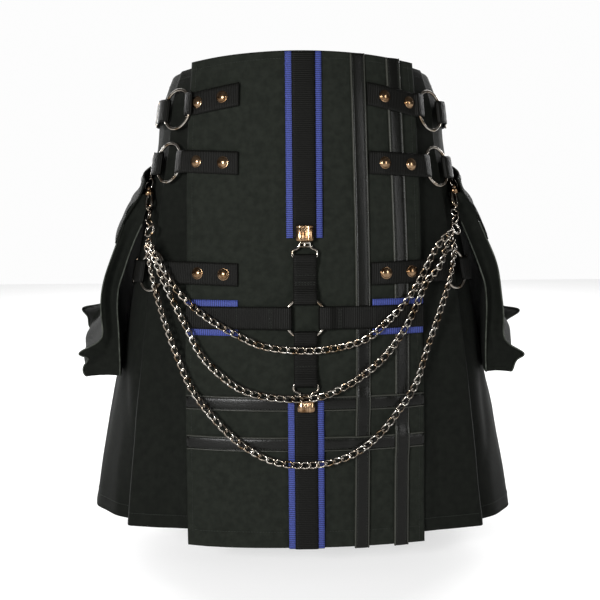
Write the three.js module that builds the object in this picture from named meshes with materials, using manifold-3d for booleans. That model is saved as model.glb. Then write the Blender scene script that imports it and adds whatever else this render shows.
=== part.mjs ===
// A denim utility kilt, worn: the hollow garment keeps the form of the hips that fill it.
// Millimetres, +Z up, the front faces -Y and +X is the viewer's right of the front.
// The origin is the middle of the waist opening, 30 mm below the top of the front edge.
// "drop" is always the distance straight down from the top of the front edge.
import * as THREE from 'three';
import { mergeVertices } from 'three/addons/utils/BufferGeometryUtils.js';
import Module from 'manifold-3d';

// Garment
const TOP_EDGE = 30;
const APRON_DROP = 610;
const UNDER_APRON_DROP = 604;
const PLEAT_DROP = 601;
const CLOTH = 2.0;
const SEAM_GAP = 0.3;
const LAY_GAP = 0.6;
const UNDER_APRON_HALF = 118;
const UNDER_GAP_TOP = 3.2;
const UNDER_GAP_HEM = 11;
const APRON_CORNER_DROP = 7.5;
// The top edge of the pleated part: where it starts beside the apron, at the hip and at the back
const FRONT_TOP_DROP = 9;
const SIDE_TOP_DROP = 18;
const BACK_TOP_DROP = 16;
const HIP_ROUND = 0.35;
const PLEAT_LINE_TOP = 14;

// Trim on the apron
const LEATHER_WIDTH = 18.6;
const LEATHER = 1.8;
const RIBBON_WIDTH = 44;
const RIBBON = 0.8;
const WEB_WIDTH = 28.5;
const WEB = 1.6;
const UPPER_WEB_END = 227;
const LOWER_WEB_START = 426;
const BAND_OUTER = 147;
const BAND_INNER = 82;
const HARNESS_DROP = 324.5;

// Metal
const RING_RADIUS = 24.8;
const RING_WIRE = 2.0;
const RIVET_RADIUS = 7.5;
const RIVET_HEIGHT = 4.2;
// The dome of a rivet, as shares of its radius and height
const RIVET_PROFILE = [[0, 0], [1, 0], [0.96, 0.31], [0.75, 0.71], [0.39, 0.95], [0, 1]];
const CHAIN_RADIUS = 3.2;
const HUB = { x: 194, y: -86, drop: 217 };
const CHAIN_BACK = -102;
const CLASP_HANG = 18;
const CLASP_OUT = 4.5;
const CLASP_WIRE = 1.5;
const DEE_RADIUS = 8;
const HUB_RADIUS = 7.5;
const CHAIN_STANDOFF = 9.5;
const CHAIN_LEAVES = 140;
const REAR_STRAP_SHARE = 0.6;
const STRAP_LEAVES = 5;
const HARNESS_WIRE_HEIGHT = LAY_GAP + WEB + 0.5 + RING_WIRE;
const UPPER_BAR_DROP = 250;
const LOWER_BAR_DROP = 405.5;
const CLIP_NECK = 15;
const NECK_SUNK = 1;
const BAIL_WIDTH = 33;
const BAIL_WIRE = 3;
const BAIL_WALL = 1.7;
const BAIL_BAR = 2.8;
const BAIL_SHOULDER = 9;
const BAIL_REACH = 20.5;
const NECK_RISE = 3;
const CLIPS = [
  { name: 'clip_upper', bar: UPPER_BAR_DROP, start: 211.5, end: 231, base: 3.6 },
  { name: 'clip_lower', bar: LOWER_BAR_DROP, start: 424.5, end: 439, base: 5.8 },
];
const BARREL_WIDTH = 21.7;
const BARREL_DEPTH = 8.5;

// Apron: half width, how far forward its middle stands, how far its edges lie behind the middle
const APRON = [
  { drop: 0, halfWidth: 139, front: 126.5, edgeBack: 46 },
  { drop: 60, halfWidth: 143, front: 132.5, edgeBack: 42 },
  { drop: 140, halfWidth: 145, front: 135.5, edgeBack: 36 },
  { drop: 250, halfWidth: 147, front: 138, edgeBack: 30 },
  { drop: 430, halfWidth: 150, front: 143, edgeBack: 26 },
  { drop: 610, halfWidth: 149, front: 148, edgeBack: 20 },
];
const APRON_CURVE = 2.35;

// Body of the garment: half width, middle and half depth of each level's oval, and its squareness
const BODY = [
  { drop: 0, halfWidth: 164, middle: 2, halfDepth: 120, square: 2.0 },
  { drop: 35, halfWidth: 178, middle: 3, halfDepth: 126, square: 2.02 },
  { drop: 60, halfWidth: 186.5, middle: 4.5, halfDepth: 130, square: 2.05 },
  { drop: 110, halfWidth: 191, middle: 8, halfDepth: 137, square: 2.1 },
  { drop: 250, halfWidth: 217, middle: 17, halfDepth: 150, square: 2.26 },
  { drop: 430, halfWidth: 250.5, middle: 28, halfDepth: 167, square: 2.45 },
  { drop: 610, halfWidth: 282, middle: 38, halfDepth: 182, square: 2.6 },
];

// Knife pleats of one side, front to back: the place of each fold as a share of the way round
const PLEATS = [
  { waist: 0.385, hem: 0.325, rise: 9, under: 24 },
  { waist: 0.5, hem: 0.492, rise: 8.5, under: 26 },
  { waist: 0.61, hem: 0.606, rise: 8, under: 24 },
  { waist: 0.72, hem: 0.717, rise: 9, under: 27 },
  { waist: 0.825, hem: 0.822, rise: 8, under: 24 },
  { waist: 0.93, hem: 0.926, rise: 8.5, under: 25 },
];
// How far the pleats stand and tuck under at each level, as a share of their hem size
const PLEAT_OPENING = [
  { drop: 0, rise: 0.11, under: -0.3 },
  { drop: 150, rise: 0.3, under: 0 },
  { drop: 300, rise: 0.5, under: 0.42 },
  { drop: 610, rise: 1, under: 1 },
];
const APRON_LEVELS = [0, 0.03, 0.06, 0.09, 0.13, 0.18, 0.25, 0.33, 0.42, 0.53, 0.65, 0.77, 0.88, 1];
const PLEAT_LEVELS = [0, 0.07, 0.15, 0.26, 0.4, 0.55, 0.7, 0.85, 1];

// The middle lines of what runs down the apron: the webbing and the two upright leather strips
const UPRIGHTS = {
  middle: [{ drop: 0, x: 0 }, { drop: 300, x: 0 }, { drop: 610, x: 0 }],
  inner: [{ drop: 0, x: 66 }, { drop: 300, x: 71.5 }, { drop: 610, x: 68.5 }],
  outer: [{ drop: 0, x: 111 }, { drop: 300, x: 120.5 }, { drop: 610, x: 118.5 }],
};
// The leather strips that run across
const CROSSBARS = [
  { name: 'leather_cross_upper', drop: 430.5 },
  { name: 'leather_cross_lower', drop: 480.5 },
];

// Strap rows: where the front strap starts on the apron and where its ring hangs
const ROWS = [
  { row: 1, inner: 77.6, innerDrop: 53.5, ringX: 165, ringDrop: 64.5, rivets: [98, 129.5] },
  { row: 2, inner: 79.6, innerDrop: 135.5, ringX: 174.5, ringDrop: 133, rivets: [98, 131.5] },
  { row: 3, inner: 81.6, innerDrop: 271.5, ringX: 193.5, ringDrop: 268.5, rivets: [99, 131.5] },
];

// Chains, hung from the two hubs: the x and drop of each point and how far back it is gathered.
// stack sets the chains one behind another at the hubs; overClip lifts one over the lower clip
const CHAINS = [
  {
    name: 'chain_upper',
    stack: -12,
    overClip: 0,
    points: [
      [-194, 228, 12], [-181, 252], [-163, 283], [-143, 306], [-113, 327], [-79, 346], [-48, 359],
      [0, 364], [42, 360], [74, 350], [100, 329], [123, 305], [144, 279], [160, 248], [174, 229, 3], [187, 221, 11],
    ],
  },
  {
    name: 'chain_middle',
    stack: -5.5,
    overClip: 9,
    points: [
      [-196, 232, 12], [-178, 272], [-162, 306], [-146, 337], [-127, 368], [-105, 392], [-76, 412],
      [-36, 421], [12, 420], [48, 408], [76, 390], [98, 370], [119, 342], [134, 314], [152, 283],
      [170, 262], [180, 235, 5], [189, 224, 11],
    ],
  },
  {
    name: 'chain_lower',
    stack: -1.5,
    overClip: 0,
    points: [
      [-198, 236, 12], [-188, 282], [-176, 325], [-160, 370], [-138, 412], [-110, 449], [-78, 479],
      [-38, 500], [10, 504], [52, 494], [84, 473], [110, 444], [134, 409], [152, 367], [166, 330],
      [180, 290], [187, 262], [191, 233, 8],
    ],
  },
];

// Cargo pocket seen from its front edge: the back panel's reach and how deep the bag is
const POCKET = [
  { drop: 203, back: 207.3, deep: 22 },
  { drop: 235, back: 221.3, deep: 21 },
  { drop: 271, back: 235.3, deep: 20 },
  { drop: 295, back: 242.3, deep: 19 },
  { drop: 345, back: 244.3, deep: 24 },
  { drop: 388, back: 246.3, deep: 43 },
  { drop: 403, back: 247.3, deep: 37 },
  { drop: 412, back: 248.3, deep: 27 },
];
const POCKET_LEVELS = [203, 219, 235, 253, 271, 295, 320, 345, 368, 388, 403, 412];
const POCKET_FRONT = -45;
const POCKET_WIDTH = 145;
const POCKET_LIFT = 42;
const POCKET_TOE = 5;
const POCKET_REAR_DEEPER = 0.35;
const POCKET_CROWN = 0.12;
const POCKET_WRAP = 40;
const POCKET_WRAP_LOW = 20;
const POCKET_PINCH = 0.022;
const FLAP = [
  { drop: 150, reach: 206.5 },
  { drop: 168, reach: 210 },
  { drop: 186, reach: 220.5 },
  { drop: 204, reach: 231.5 },
  { drop: 231, reach: 242.75 },
];
const FLAP_OVERHANG = 4;
const FLAP_CROWN = 3.4;
const FLAP_SEAM_OUT = 10;
const FLAP_SEAM_FRONT = 10;

// Finishes
const denim = new THREE.MeshStandardMaterial({ color: 0x262b26, roughness: 0.92, metalness: 0 });
const underDenim = new THREE.MeshStandardMaterial({ color: 0x1c1f1a, roughness: 0.94, metalness: 0 });
const webbing = new THREE.MeshStandardMaterial({ color: 0x1a1b18, roughness: 0.85, metalness: 0 });
const blueRibbon = new THREE.MeshStandardMaterial({ color: 0x3b467f, roughness: 0.7, metalness: 0 });
const leather = new THREE.MeshStandardMaterial({ color: 0x201f1d, roughness: 0.42, metalness: 0 });
const steel = new THREE.MeshStandardMaterial({ color: 0xb9b2a6, roughness: 0.22, metalness: 1 });

const kilt = new THREE.Group();
const { lerp, clamp } = THREE.MathUtils;
const wasm = await Module();
wasm.setup();

// Reads a column of a table at any drop, on a smooth curve through its rows
function readTable(rows, column, drop) {
  const last = rows.length - 1;
  const at = clamp(drop, rows[0].drop, rows[last].drop);
  let k = 0;
  while (k < last - 1 && rows[k + 1].drop < at) k += 1;
  const slope = (i) => {
    const a = rows[Math.max(i - 1, 0)];
    const b = rows[Math.min(i + 1, last)];
    return (b[column] - a[column]) / (b.drop - a.drop);
  };
  const span = rows[k + 1].drop - rows[k].drop;
  const t = (at - rows[k].drop) / span;
  const rise = t * t * (3 - 2 * t);
  const bend = t * (1 - t) * span * (slope(k) * (1 - t) - slope(k + 1) * t);
  return lerp(rows[k][column], rows[k + 1][column], rise) + bend;
}

// Adds a closed body to the kilt, with its faces turned outwards
function addBody(name, material, corners, triangles) {
  let volume = 0;
  const cross = new THREE.Vector3();
  for (const [a, b, c] of triangles) {
    volume += corners[a].dot(cross.crossVectors(corners[b], corners[c]));
  }
  const faces = volume > 0 ? triangles : triangles.map(([a, b, c]) => [a, c, b]);
  const geometry = new THREE.BufferGeometry();
  geometry.setFromPoints(corners);
  geometry.setIndex(faces.flat());
  geometry.computeVertexNormals();
  addMesh(name, material, geometry);
}

function addMesh(name, material, geometry) {
  const mesh = new THREE.Mesh(geometry, material);
  mesh.name = name;
  kilt.add(mesh);
  return mesh;
}

// A wall of cloth: an outer and an inner sheet of the same rows and columns, closed round the rim
function addWall(name, material, outer, inner) {
  const rows = outer.length;
  const columns = outer[0].length;
  const corners = [...outer.flat(), ...inner.flat()];
  const shift = rows * columns;
  const id = (r, c) => r * columns + c;
  const triangles = [];
  const quad = (a, b, c, d) => triangles.push([a, b, c], [a, c, d]);
  for (let r = 0; r < rows - 1; r += 1) {
    for (let c = 0; c < columns - 1; c += 1) {
      quad(id(r, c), id(r, c + 1), id(r + 1, c + 1), id(r + 1, c));
      quad(shift + id(r, c), shift + id(r + 1, c), shift + id(r + 1, c + 1), shift + id(r, c + 1));
    }
  }
  const rim = [];
  for (let c = 0; c < columns - 1; c += 1) rim.push(id(0, c));
  for (let r = 0; r < rows - 1; r += 1) rim.push(id(r, columns - 1));
  for (let c = columns - 1; c > 0; c -= 1) rim.push(id(rows - 1, c));
  for (let r = rows - 1; r > 0; r -= 1) rim.push(id(r, 0));
  rim.forEach((a, k) => {
    const b = rim[(k + 1) % rim.length];
    quad(b, a, a + shift, b + shift);
  });
  addBody(name, material, corners, triangles);
}

// A strip: the outline of a band, there on one side and back on the other, carried across its
// stations; its two ends are closed from side to side
function addStrip(name, material, outline, stations, place) {
  const count = outline.length;
  const corners = stations.flatMap((station) => outline.map(([a, b]) => place(a, b, station)));
  const triangles = [];
  for (let s = 0; s < stations.length - 1; s += 1) {
    for (let k = 0; k < count; k += 1) {
      const a = s * count + k;
      const b = s * count + ((k + 1) % count);
      triangles.push([a, b, b + count], [a, b + count, a + count]);
    }
  }
  const end = (stations.length - 1) * count;
  for (let k = 0; k < count / 2 - 1; k += 1) {
    const [a, b, c, d] = [k, k + 1, count - 2 - k, count - 1 - k];
    triangles.push([a, c, b], [a, d, c], [end + a, end + b, end + c], [end + a, end + c, end + d]);
  }
  addBody(name, material, corners, triangles);
}

// The outline of a band of even thickness that lies on a line of [along, height] points
function bandOutline(line, thickness) {
  const under = [];
  const over = [];
  line.forEach(([along, height], k) => {
    const before = line[Math.max(k - 1, 0)];
    const after = line[Math.min(k + 1, line.length - 1)];
    const first = new THREE.Vector2(along - before[0], height - before[1]);
    const second = new THREE.Vector2(after[0] - along, after[1] - height);
    if (k === 0) first.copy(second);
    if (k === line.length - 1) second.copy(first);
    first.normalize();
    second.normalize();
    const normal = new THREE.Vector2(-first.y - second.y, first.x + second.x).normalize();
    const reach = thickness / Math.max(normal.x * -first.y + normal.y * first.x, 0.5);
    under.push([along, height]);
    over.push([along + normal.x * reach, height + normal.y * reach]);
  });
  return [...under, ...over.reverse()];
}

// A point on the apron's face, moved out along the face's normal
function apronPoint(x, drop, out) {
  const face = (px, pd) => {
    const share = Math.abs(px) / readTable(APRON, 'halfWidth', pd);
    return readTable(APRON, 'edgeBack', pd) * share ** APRON_CURVE - readTable(APRON, 'front', pd);
  };
  const step = 0.5;
  const slopeX = (face(x + step, drop) - face(x - step, drop)) / (2 * step);
  const slopeZ = (face(x, drop - step) - face(x, drop + step)) / (2 * step);
  const normal = new THREE.Vector3(slopeX, -1, slopeZ).normalize();
  return new THREE.Vector3(x, face(x, drop), TOP_EDGE - drop).addScaledVector(normal, out);
}

// One level of the body: half an oval from the front middle, by +X, to the back middle
function bodyRing(drop) {
  const halfWidth = readTable(BODY, 'halfWidth', drop);
  const halfDepth = readTable(BODY, 'halfDepth', drop);
  const middle = readTable(BODY, 'middle', drop);
  const power = 2 / readTable(BODY, 'square', drop);
  const steps = 160;
  const points = [];
  for (let k = 0; k <= steps; k += 1) {
    const turn = lerp(-Math.PI / 2, Math.PI / 2, k / steps);
    const x = halfWidth * Math.max(Math.cos(turn), 0) ** power;
    const y = middle + halfDepth * Math.sign(Math.sin(turn)) * Math.abs(Math.sin(turn)) ** power;
    points.push(new THREE.Vector2(x, y));
  }
  const lengths = [0];
  for (let k = 1; k <= steps; k += 1) {
    lengths.push(lengths[k - 1] + points[k].distanceTo(points[k - 1]));
  }
  const total = lengths[steps];
  const at = (along, out) => {
    const goal = clamp(along, 0, total);
    let k = 1;
    while (k < steps && lengths[k] < goal) k += 1;
    const t = (goal - lengths[k - 1]) / (lengths[k] - lengths[k - 1]);
    const a = points[Math.max(k - 3, 0)];
    const b = points[Math.min(k + 2, steps)];
    const way = b.clone().sub(a).normalize();
    const point = points[k - 1].clone().lerp(points[k], t);
    return point.add(new THREE.Vector2(way.y, -way.x).multiplyScalar(out));
  };
  return { total, at };
}

// The middle line of one side's pleats at a level: out to each fold, tucked under, and on
function pleatLine(drop) {
  const ring = bodyRing(drop);
  const open = (column) => readTable(PLEAT_OPENING, column, drop);
  const share = clamp(drop / APRON_DROP, 0, 1);
  const line = [];
  const start = apronPoint(UNDER_APRON_HALF + 4 * SEAM_GAP, drop, -underGap(drop) - CLOTH / 2);
  const folds = PLEATS.map((pleat) => ({
    at: ring.total * lerp(pleat.waist, pleat.hem, share),
    rise: pleat.rise * open('rise'),
    under: pleat.under * open('under'),
  }));
  const firstFold = ring.at(folds[0].at, folds[0].rise);
  for (const t of [0, 0.35, 0.7]) {
    line.push(new THREE.Vector2(start.x, start.y).lerp(firstFold, t));
  }
  folds.forEach(({ at, rise, under }, k) => {
    const next = folds[k + 1] ?? { at: ring.total - SEAM_GAP, rise: 0 };
    const tip = 0.45 * rise;
    line.push(ring.at(at, rise), ring.at(at, rise - tip));
    line.push(ring.at(at - under, tip - rise), ring.at(at - under, -rise));
    for (const t of [0.35, 0.68]) {
      line.push(ring.at(lerp(at - under, next.at, t), lerp(-rise, next.rise, t)));
    }
  });
  const end = ring.at(ring.total, 0);
  line.push(new THREE.Vector2(SEAM_GAP, end.y));
  return line;
}

// How far the under apron lies behind the apron's face
function underGap(drop) {
  return lerp(UNDER_GAP_TOP, UNDER_GAP_HEM, clamp(drop / APRON_DROP, 0, 1));
}

// Moves a line sideways by an even distance, keeping its corners square
function moveLine(line, distance) {
  return line.map((point, k) => {
    const before = point.clone().sub(line[Math.max(k - 1, 0)]).normalize();
    const after = line[Math.min(k + 1, line.length - 1)].clone().sub(point).normalize();
    const first = k === 0 ? after : before;
    const second = k === line.length - 1 ? before : after;
    const side = new THREE.Vector2(first.y + second.y, -first.x - second.x).normalize();
    const reach = distance / Math.max(side.x * first.y - side.y * first.x, 0.4);
    return point.clone().addScaledVector(side, reach);
  });
}

function addApron() {
  const columns = 22;
  const sheet = (out) => APRON_LEVELS.map((level) => Array.from({ length: columns + 1 }, (_, c) => {
    const across = (2 * c) / columns - 1;
    const drop = lerp(APRON_CORNER_DROP * across ** 2, APRON_DROP, level);
    return apronPoint(across * readTable(APRON, 'halfWidth', drop), drop, out);
  }));
  addWall('apron', denim, sheet(0), sheet(-CLOTH));
}

function addUnderApron() {
  const levels = [0, 0.05, 0.12, 0.3, 0.5, 0.75, 1];
  const columns = 8;
  const sheet = (out) => levels.map((level) => Array.from({ length: columns + 1 }, (_, c) => {
    const across = (2 * c) / columns - 1;
    const drop = lerp(4 + APRON_CORNER_DROP * across ** 2, UNDER_APRON_DROP, level);
    return apronPoint(across * UNDER_APRON_HALF, drop, out - underGap(drop));
  }));
  addWall('under_apron', underDenim, sheet(0), sheet(-CLOTH));
}

function addPleats(name, side) {
  const sheets = { outer: [], inner: [] };
  for (const level of PLEAT_LEVELS) {
    const line = pleatLine(lerp(PLEAT_LINE_TOP, PLEAT_DROP, level));
    const last = line.length - 1;
    const heights = line.map((_, k) => {
      const round = k / last;
      const top = round < HIP_ROUND
        ? lerp(FRONT_TOP_DROP, SIDE_TOP_DROP, round / HIP_ROUND)
        : lerp(SIDE_TOP_DROP, BACK_TOP_DROP, (round - HIP_ROUND) / (1 - HIP_ROUND));
      return TOP_EDGE - lerp(top, PLEAT_DROP, level);
    });
    const place = (points) => points.map((p, k) => new THREE.Vector3(side * p.x, p.y, heights[k]));
    const outer = moveLine(line, CLOTH / 2);
    const inner = moveLine(line, -CLOTH / 2);
    for (const points of [outer, inner]) points[last].x = SEAM_GAP;
    sheets.outer.push(place(outer));
    sheets.inner.push(place(inner));
  }
  addWall(name, underDenim, sheets.outer, sheets.inner);
}

// A strip that runs down the apron: a line of [drop, height] points carried across its width
function addApronStrip(name, material, line, thickness, halfWidth, upright) {
  const outline = bandOutline(levelLine(line), thickness);
  const place = (drop, out, across) => apronPoint(across + readTable(upright, 'x', drop), drop, out);
  addStrip(name, material, outline, [-halfWidth, 0, halfWidth], place);
}

// The line of a strip that steps up over what it crosses
function steppedLine(start, end, base, crossings) {
  const ramp = 5;
  const line = [[start, base]];
  for (const { at, half, pass } of crossings) {
    line.push([at - half - ramp, base], [at - half, base + pass]);
    line.push([at + half, base + pass], [at + half + ramp, base]);
  }
  line.push([end, base]);
  return line;
}

// Splits long stretches of a line, so that it follows the curve of the apron
function refineLine(line, longest) {
  const out = [line[0]];
  for (let k = 1; k < line.length; k += 1) {
    const [a, b] = [line[k - 1], line[k]];
    const parts = Math.ceil(Math.abs(b[0] - a[0]) / longest);
    for (let p = 1; p <= parts; p += 1) {
      out.push([lerp(a[0], b[0], p / parts), lerp(a[1], b[1], p / parts)]);
    }
  }
  return out;
}

// Gives a line that runs down the apron a point at each of the apron's own levels
function levelLine(line) {
  const start = line[0][0];
  const end = line[line.length - 1][0];
  const drops = APRON_LEVELS.map((level) => level * APRON_DROP)
    .filter((drop) => drop > start + 3 && drop < end - 3)
    .filter((drop) => line.every(([at]) => Math.abs(at - drop) > 3));
  const heightAt = (drop) => {
    const k = line.findIndex(([at]) => at > drop);
    const [a, b] = [line[k - 1], line[k]];
    return lerp(a[1], b[1], (drop - a[0]) / (b[0] - a[0]));
  };
  return [...line, ...drops.map((drop) => [drop, heightAt(drop)])].sort((a, b) => a[0] - b[0]);
}

function addLeather() {
  const half = LEATHER_WIDTH / 2;
  const wide = half + 1;
  const pass = LEATHER + SEAM_GAP;
  const [upper, lower] = CROSSBARS;
  const inner = steppedLine(3, APRON_DROP + 1.5, LAY_GAP, [{ at: upper.drop, half: wide, pass }]);
  const outer = steppedLine(6, APRON_DROP + 1.5, LAY_GAP, [{ at: lower.drop, half: wide, pass }]);
  addApronStrip('leather_upright_inner', leather, inner, LEATHER, half, UPRIGHTS.inner);
  addApronStrip('leather_upright_outer', leather, outer, LEATHER, half, UPRIGHTS.outer);
  for (const bar of CROSSBARS) {
    const over = bar === upper ? UPRIGHTS.outer : UPRIGHTS.inner;
    const crossing = { at: readTable(over, 'x', bar.drop), half: wide, pass };
    const line = steppedLine(-148.5, 148.5, LAY_GAP, [crossing]);
    const stations = [bar.drop - half, bar.drop, bar.drop + half];
    const place = (along, out, drop) => apronPoint(along, drop, out);
    addStrip(bar.name, leather, bandOutline(refineLine(line, 12.5), LEATHER), stations, place);
  }
}

function addMiddleWebbing() {
  const half = LEATHER_WIDTH / 2 + 1.5;
  const pass = LEATHER + SEAM_GAP;
  const upper = [[1.5, LAY_GAP], [UPPER_WEB_END, LAY_GAP]];
  const [first, second] = CROSSBARS.map(({ drop }) => ({ at: drop, half, pass }));
  const lower = steppedLine(LOWER_WEB_START, APRON_DROP + 0.5, LAY_GAP, [first, second]);
  lower.splice(0, 3, [LOWER_WEB_START, LAY_GAP + pass]);
  for (const [place, line] of [['upper', upper], ['lower', lower]]) {
    const raised = line.map(([along, out]) => [along, out + RIBBON + 1.3 * SEAM_GAP]);
    addApronStrip(`ribbon_${place}`, blueRibbon, line, RIBBON, RIBBON_WIDTH / 2, UPRIGHTS.middle);
    addApronStrip(`webbing_${place}`, webbing, raised, WEB, WEB_WIDTH / 2, UPRIGHTS.middle);
  }
}

// The middle line of a harness strap's end: up over a wire, round it and back underneath.
// wireAt is where the wire's middle lies along the strap and inner how far the loop reaches
function loopedEnd(wireAt, inner, toward, tail) {
  const over = HARNESS_WIRE_HEIGHT + RING_WIRE + 0.6 + WEB / 2;
  const low = LAY_GAP + WEB / 2;
  return [
    [wireAt + toward * 13, low + 2.3],
    [wireAt + toward * 5.5, over - 0.6],
    [wireAt, over],
    [inner + toward * 2, over - 0.7],
    [inner, (over + low) / 2 + 1],
    [inner + toward * 0.4, low + 1],
    [inner + toward * 2.4, low],
    [wireAt + toward * tail, low],
  ];
}

// The harness: four straps looped on the middle ring; up and down they end on the clips
function addHarness() {
  const low = LAY_GAP + WEB / 2;
  const half = WEB_WIDTH / 2;
  const ringEnd = loopedEnd(RING_RADIUS, RING_RADIUS - 8.4, 1, 9);
  const clipEnd = (bar) => loopedEnd(bar, bar + 3.4, -1, 9).reverse();
  const upright = [['strap_up', -1, HARNESS_DROP - UPPER_BAR_DROP], ['strap_down', 1, LOWER_BAR_DROP - HARNESS_DROP]];
  for (const [name, way, bar] of upright) {
    const line = [...clipEnd(bar), [(RING_RADIUS + bar) / 2, low], ...ringEnd];
    const place = (along, out, across) => apronPoint(across, HARNESS_DROP + way * along, out);
    addStrip(name, webbing, thickOutline(line, WEB), [-half, 0, half], place);
  }
  for (const [name, way] of [['strap_left', -1], ['strap_right', 1]]) {
    const ribbonBase = way > 0 ? LAY_GAP + LEATHER + LAY_GAP : LAY_GAP;
    const top = ribbonBase + RIBBON + 1.5 * SEAM_GAP + WEB / 2;
    const rampEnd = way > 0 ? 60 : BAND_INNER - 1;
    const far = [[BAND_OUTER - 0.5, top], [rampEnd, top], [rampEnd - 9, low]];
    const line = [...refineLine(far, 12.5), ...ringEnd];
    const stations = [HARNESS_DROP - half, HARNESS_DROP, HARNESS_DROP + half];
    const place = (along, out, drop) => apronPoint(way * along, drop, out);
    addStrip(name, webbing, thickOutline(line, WEB), stations, place);
    const ribbon = refineLine([[BAND_INNER, ribbonBase], [BAND_OUTER, ribbonBase]], 12.5);
    const wide = RIBBON_WIDTH / 2;
    const lanes = [HARNESS_DROP - wide, HARNESS_DROP, HARNESS_DROP + wide];
    addStrip(name.replace('strap', 'ribbon'), blueRibbon, bandOutline(ribbon, RIBBON), lanes, place);
  }
  const ring = addMesh('ring_middle', steel, ringGeometry(RING_RADIUS, RING_WIRE));
  setOnFace(ring, apronPoint(0, HARNESS_DROP, HARNESS_WIRE_HEIGHT), apronNormal(0, HARNESS_DROP));
}

function ringGeometry(radius, wire) {
  return new THREE.TorusGeometry(radius, wire, 6, 24);
}

function apronNormal(x, drop) {
  return apronPoint(x, drop, 1).sub(apronPoint(x, drop, 0)).normalize();
}

// Puts a mesh made round +Z at a point, with +Z along a direction
function setOnFace(mesh, point, direction) {
  mesh.position.copy(point);
  mesh.quaternion.setFromUnitVectors(new THREE.Vector3(0, 0, 1), direction);
}

// The outline of a band round its middle line
function thickOutline(line, thickness) {
  const middle = line.map(([along, height]) => new THREE.Vector2(along, height));
  const side = (distance) => moveLine(middle, distance).map((p) => [p.x, p.y]);
  return [...side(thickness / 2), ...side(-thickness / 2).reverse()];
}

// A clip: a flattened barrel on the webbing's end and a flat bail that the strap loops on
function addClip({ name, bar, start, end, base: barrelBase }) {
  const way = Math.sign(bar - start);
  const near = way > 0 ? end : start;
  const shape = new THREE.Shape();
  const neck = CLIP_NECK / 2;
  const wide = BAIL_WIDTH / 2;
  const slotWide = wide - BAIL_WALL;
  const slotEnd = BAIL_REACH - BAIL_BAR;
  const outline = [
    [-neck, -NECK_SUNK], [-neck, NECK_RISE], [-wide, BAIL_SHOULDER], [-wide, BAIL_REACH],
    [wide, BAIL_REACH], [wide, BAIL_SHOULDER], [neck, NECK_RISE], [neck, -NECK_SUNK],
  ];
  shape.setFromPoints(outline.map(([x, y]) => new THREE.Vector2(x, y)));
  const slot = [
    [neck - 2, NECK_RISE + 3.5], [slotWide, BAIL_SHOULDER + 1.5], [slotWide, slotEnd],
    [-slotWide, slotEnd], [-slotWide, BAIL_SHOULDER + 1.5], [2 - neck, NECK_RISE + 3.5],
  ];
  shape.holes.push(new THREE.Path(slot.map(([x, y]) => new THREE.Vector2(x, y))));
  const bail = new THREE.ExtrudeGeometry(shape, { depth: BAIL_WIRE, bevelEnabled: false });
  bail.scale(1, -way, 1);
  if (way > 0) turnFaces(bail);
  const barrel = new THREE.CylinderGeometry(BARREL_WIDTH / 2, BARREL_WIDTH / 2, end - start, 16);
  barrel.scale(1, 1, BARREL_DEPTH / BARREL_WIDTH);
  const middle = (start + end) / 2;
  barrel.translate(0, near - middle, barrelBase + BARREL_DEPTH / 2 - HARNESS_WIRE_HEIGHT + BAIL_WIRE / 2);
  const mesh = addMesh(name, steel, joined([bail, barrel]));
  const base = apronPoint(0, near, HARNESS_WIRE_HEIGHT - BAIL_WIRE / 2);
  const out = apronNormal(0, middle);
  const up = new THREE.Vector3(0, 0, 1).addScaledVector(out, -out.z).normalize();
  const across = new THREE.Vector3().crossVectors(up, out);
  mesh.position.copy(base);
  mesh.quaternion.setFromRotationMatrix(new THREE.Matrix4().makeBasis(across, up, out));
}

// Turns the faces of a mirrored shape the right way round again
function turnFaces(geometry) {
  const places = geometry.attributes.position;
  for (let k = 0; k < places.count; k += 3) {
    const a = new THREE.Vector3().fromBufferAttribute(places, k);
    const b = new THREE.Vector3().fromBufferAttribute(places, k + 1);
    places.setXYZ(k, b.x, b.y, b.z);
    places.setXYZ(k + 1, a.x, a.y, a.z);
  }
}

// Joins closed shapes into one body
function joined(geometries) {
  const solids = geometries.map((geometry) => {
    const bare = new THREE.BufferGeometry();
    bare.setAttribute('position', geometry.attributes.position);
    bare.setIndex(geometry.index);
    const merged = mergeVertices(bare, 1e-4);
    return new wasm.Manifold(new wasm.Mesh({
      numProp: 3,
      vertProperties: new Float32Array(merged.attributes.position.array),
      triVerts: new Uint32Array(merged.index.array),
    }));
  });
  const whole = solids.reduce((sum, solid) => sum.add(solid));
  const { vertProperties, triVerts } = whole.getMesh();
  const geometry = new THREE.BufferGeometry();
  geometry.setAttribute('position', new THREE.BufferAttribute(vertProperties, 3));
  geometry.setIndex(new THREE.BufferAttribute(triVerts, 1));
  geometry.computeVertexNormals();
  return geometry;
}

// Where a row's ring hangs: its middle, the way round the body and the way out of it
function ringPlace({ ringX, ringDrop }) {
  const ring = bodyRing(ringDrop);
  const folds = readTable(PLEAT_OPENING, 'rise', ringDrop) * PLEATS[0].rise + CLOTH / 2;
  const standOff = folds + LAY_GAP + WEB + SEAM_GAP + RING_WIRE + 0.6;
  let along = 0;
  while (ring.at(along, standOff).x < ringX) along += 0.25;
  const middle = ring.at(along, standOff);
  const out = ring.at(along, standOff + 1).sub(middle).normalize();
  const way = new THREE.Vector2(-out.y, out.x);
  return { ring, along, middle, out, way, standOff, folds };
}

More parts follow.
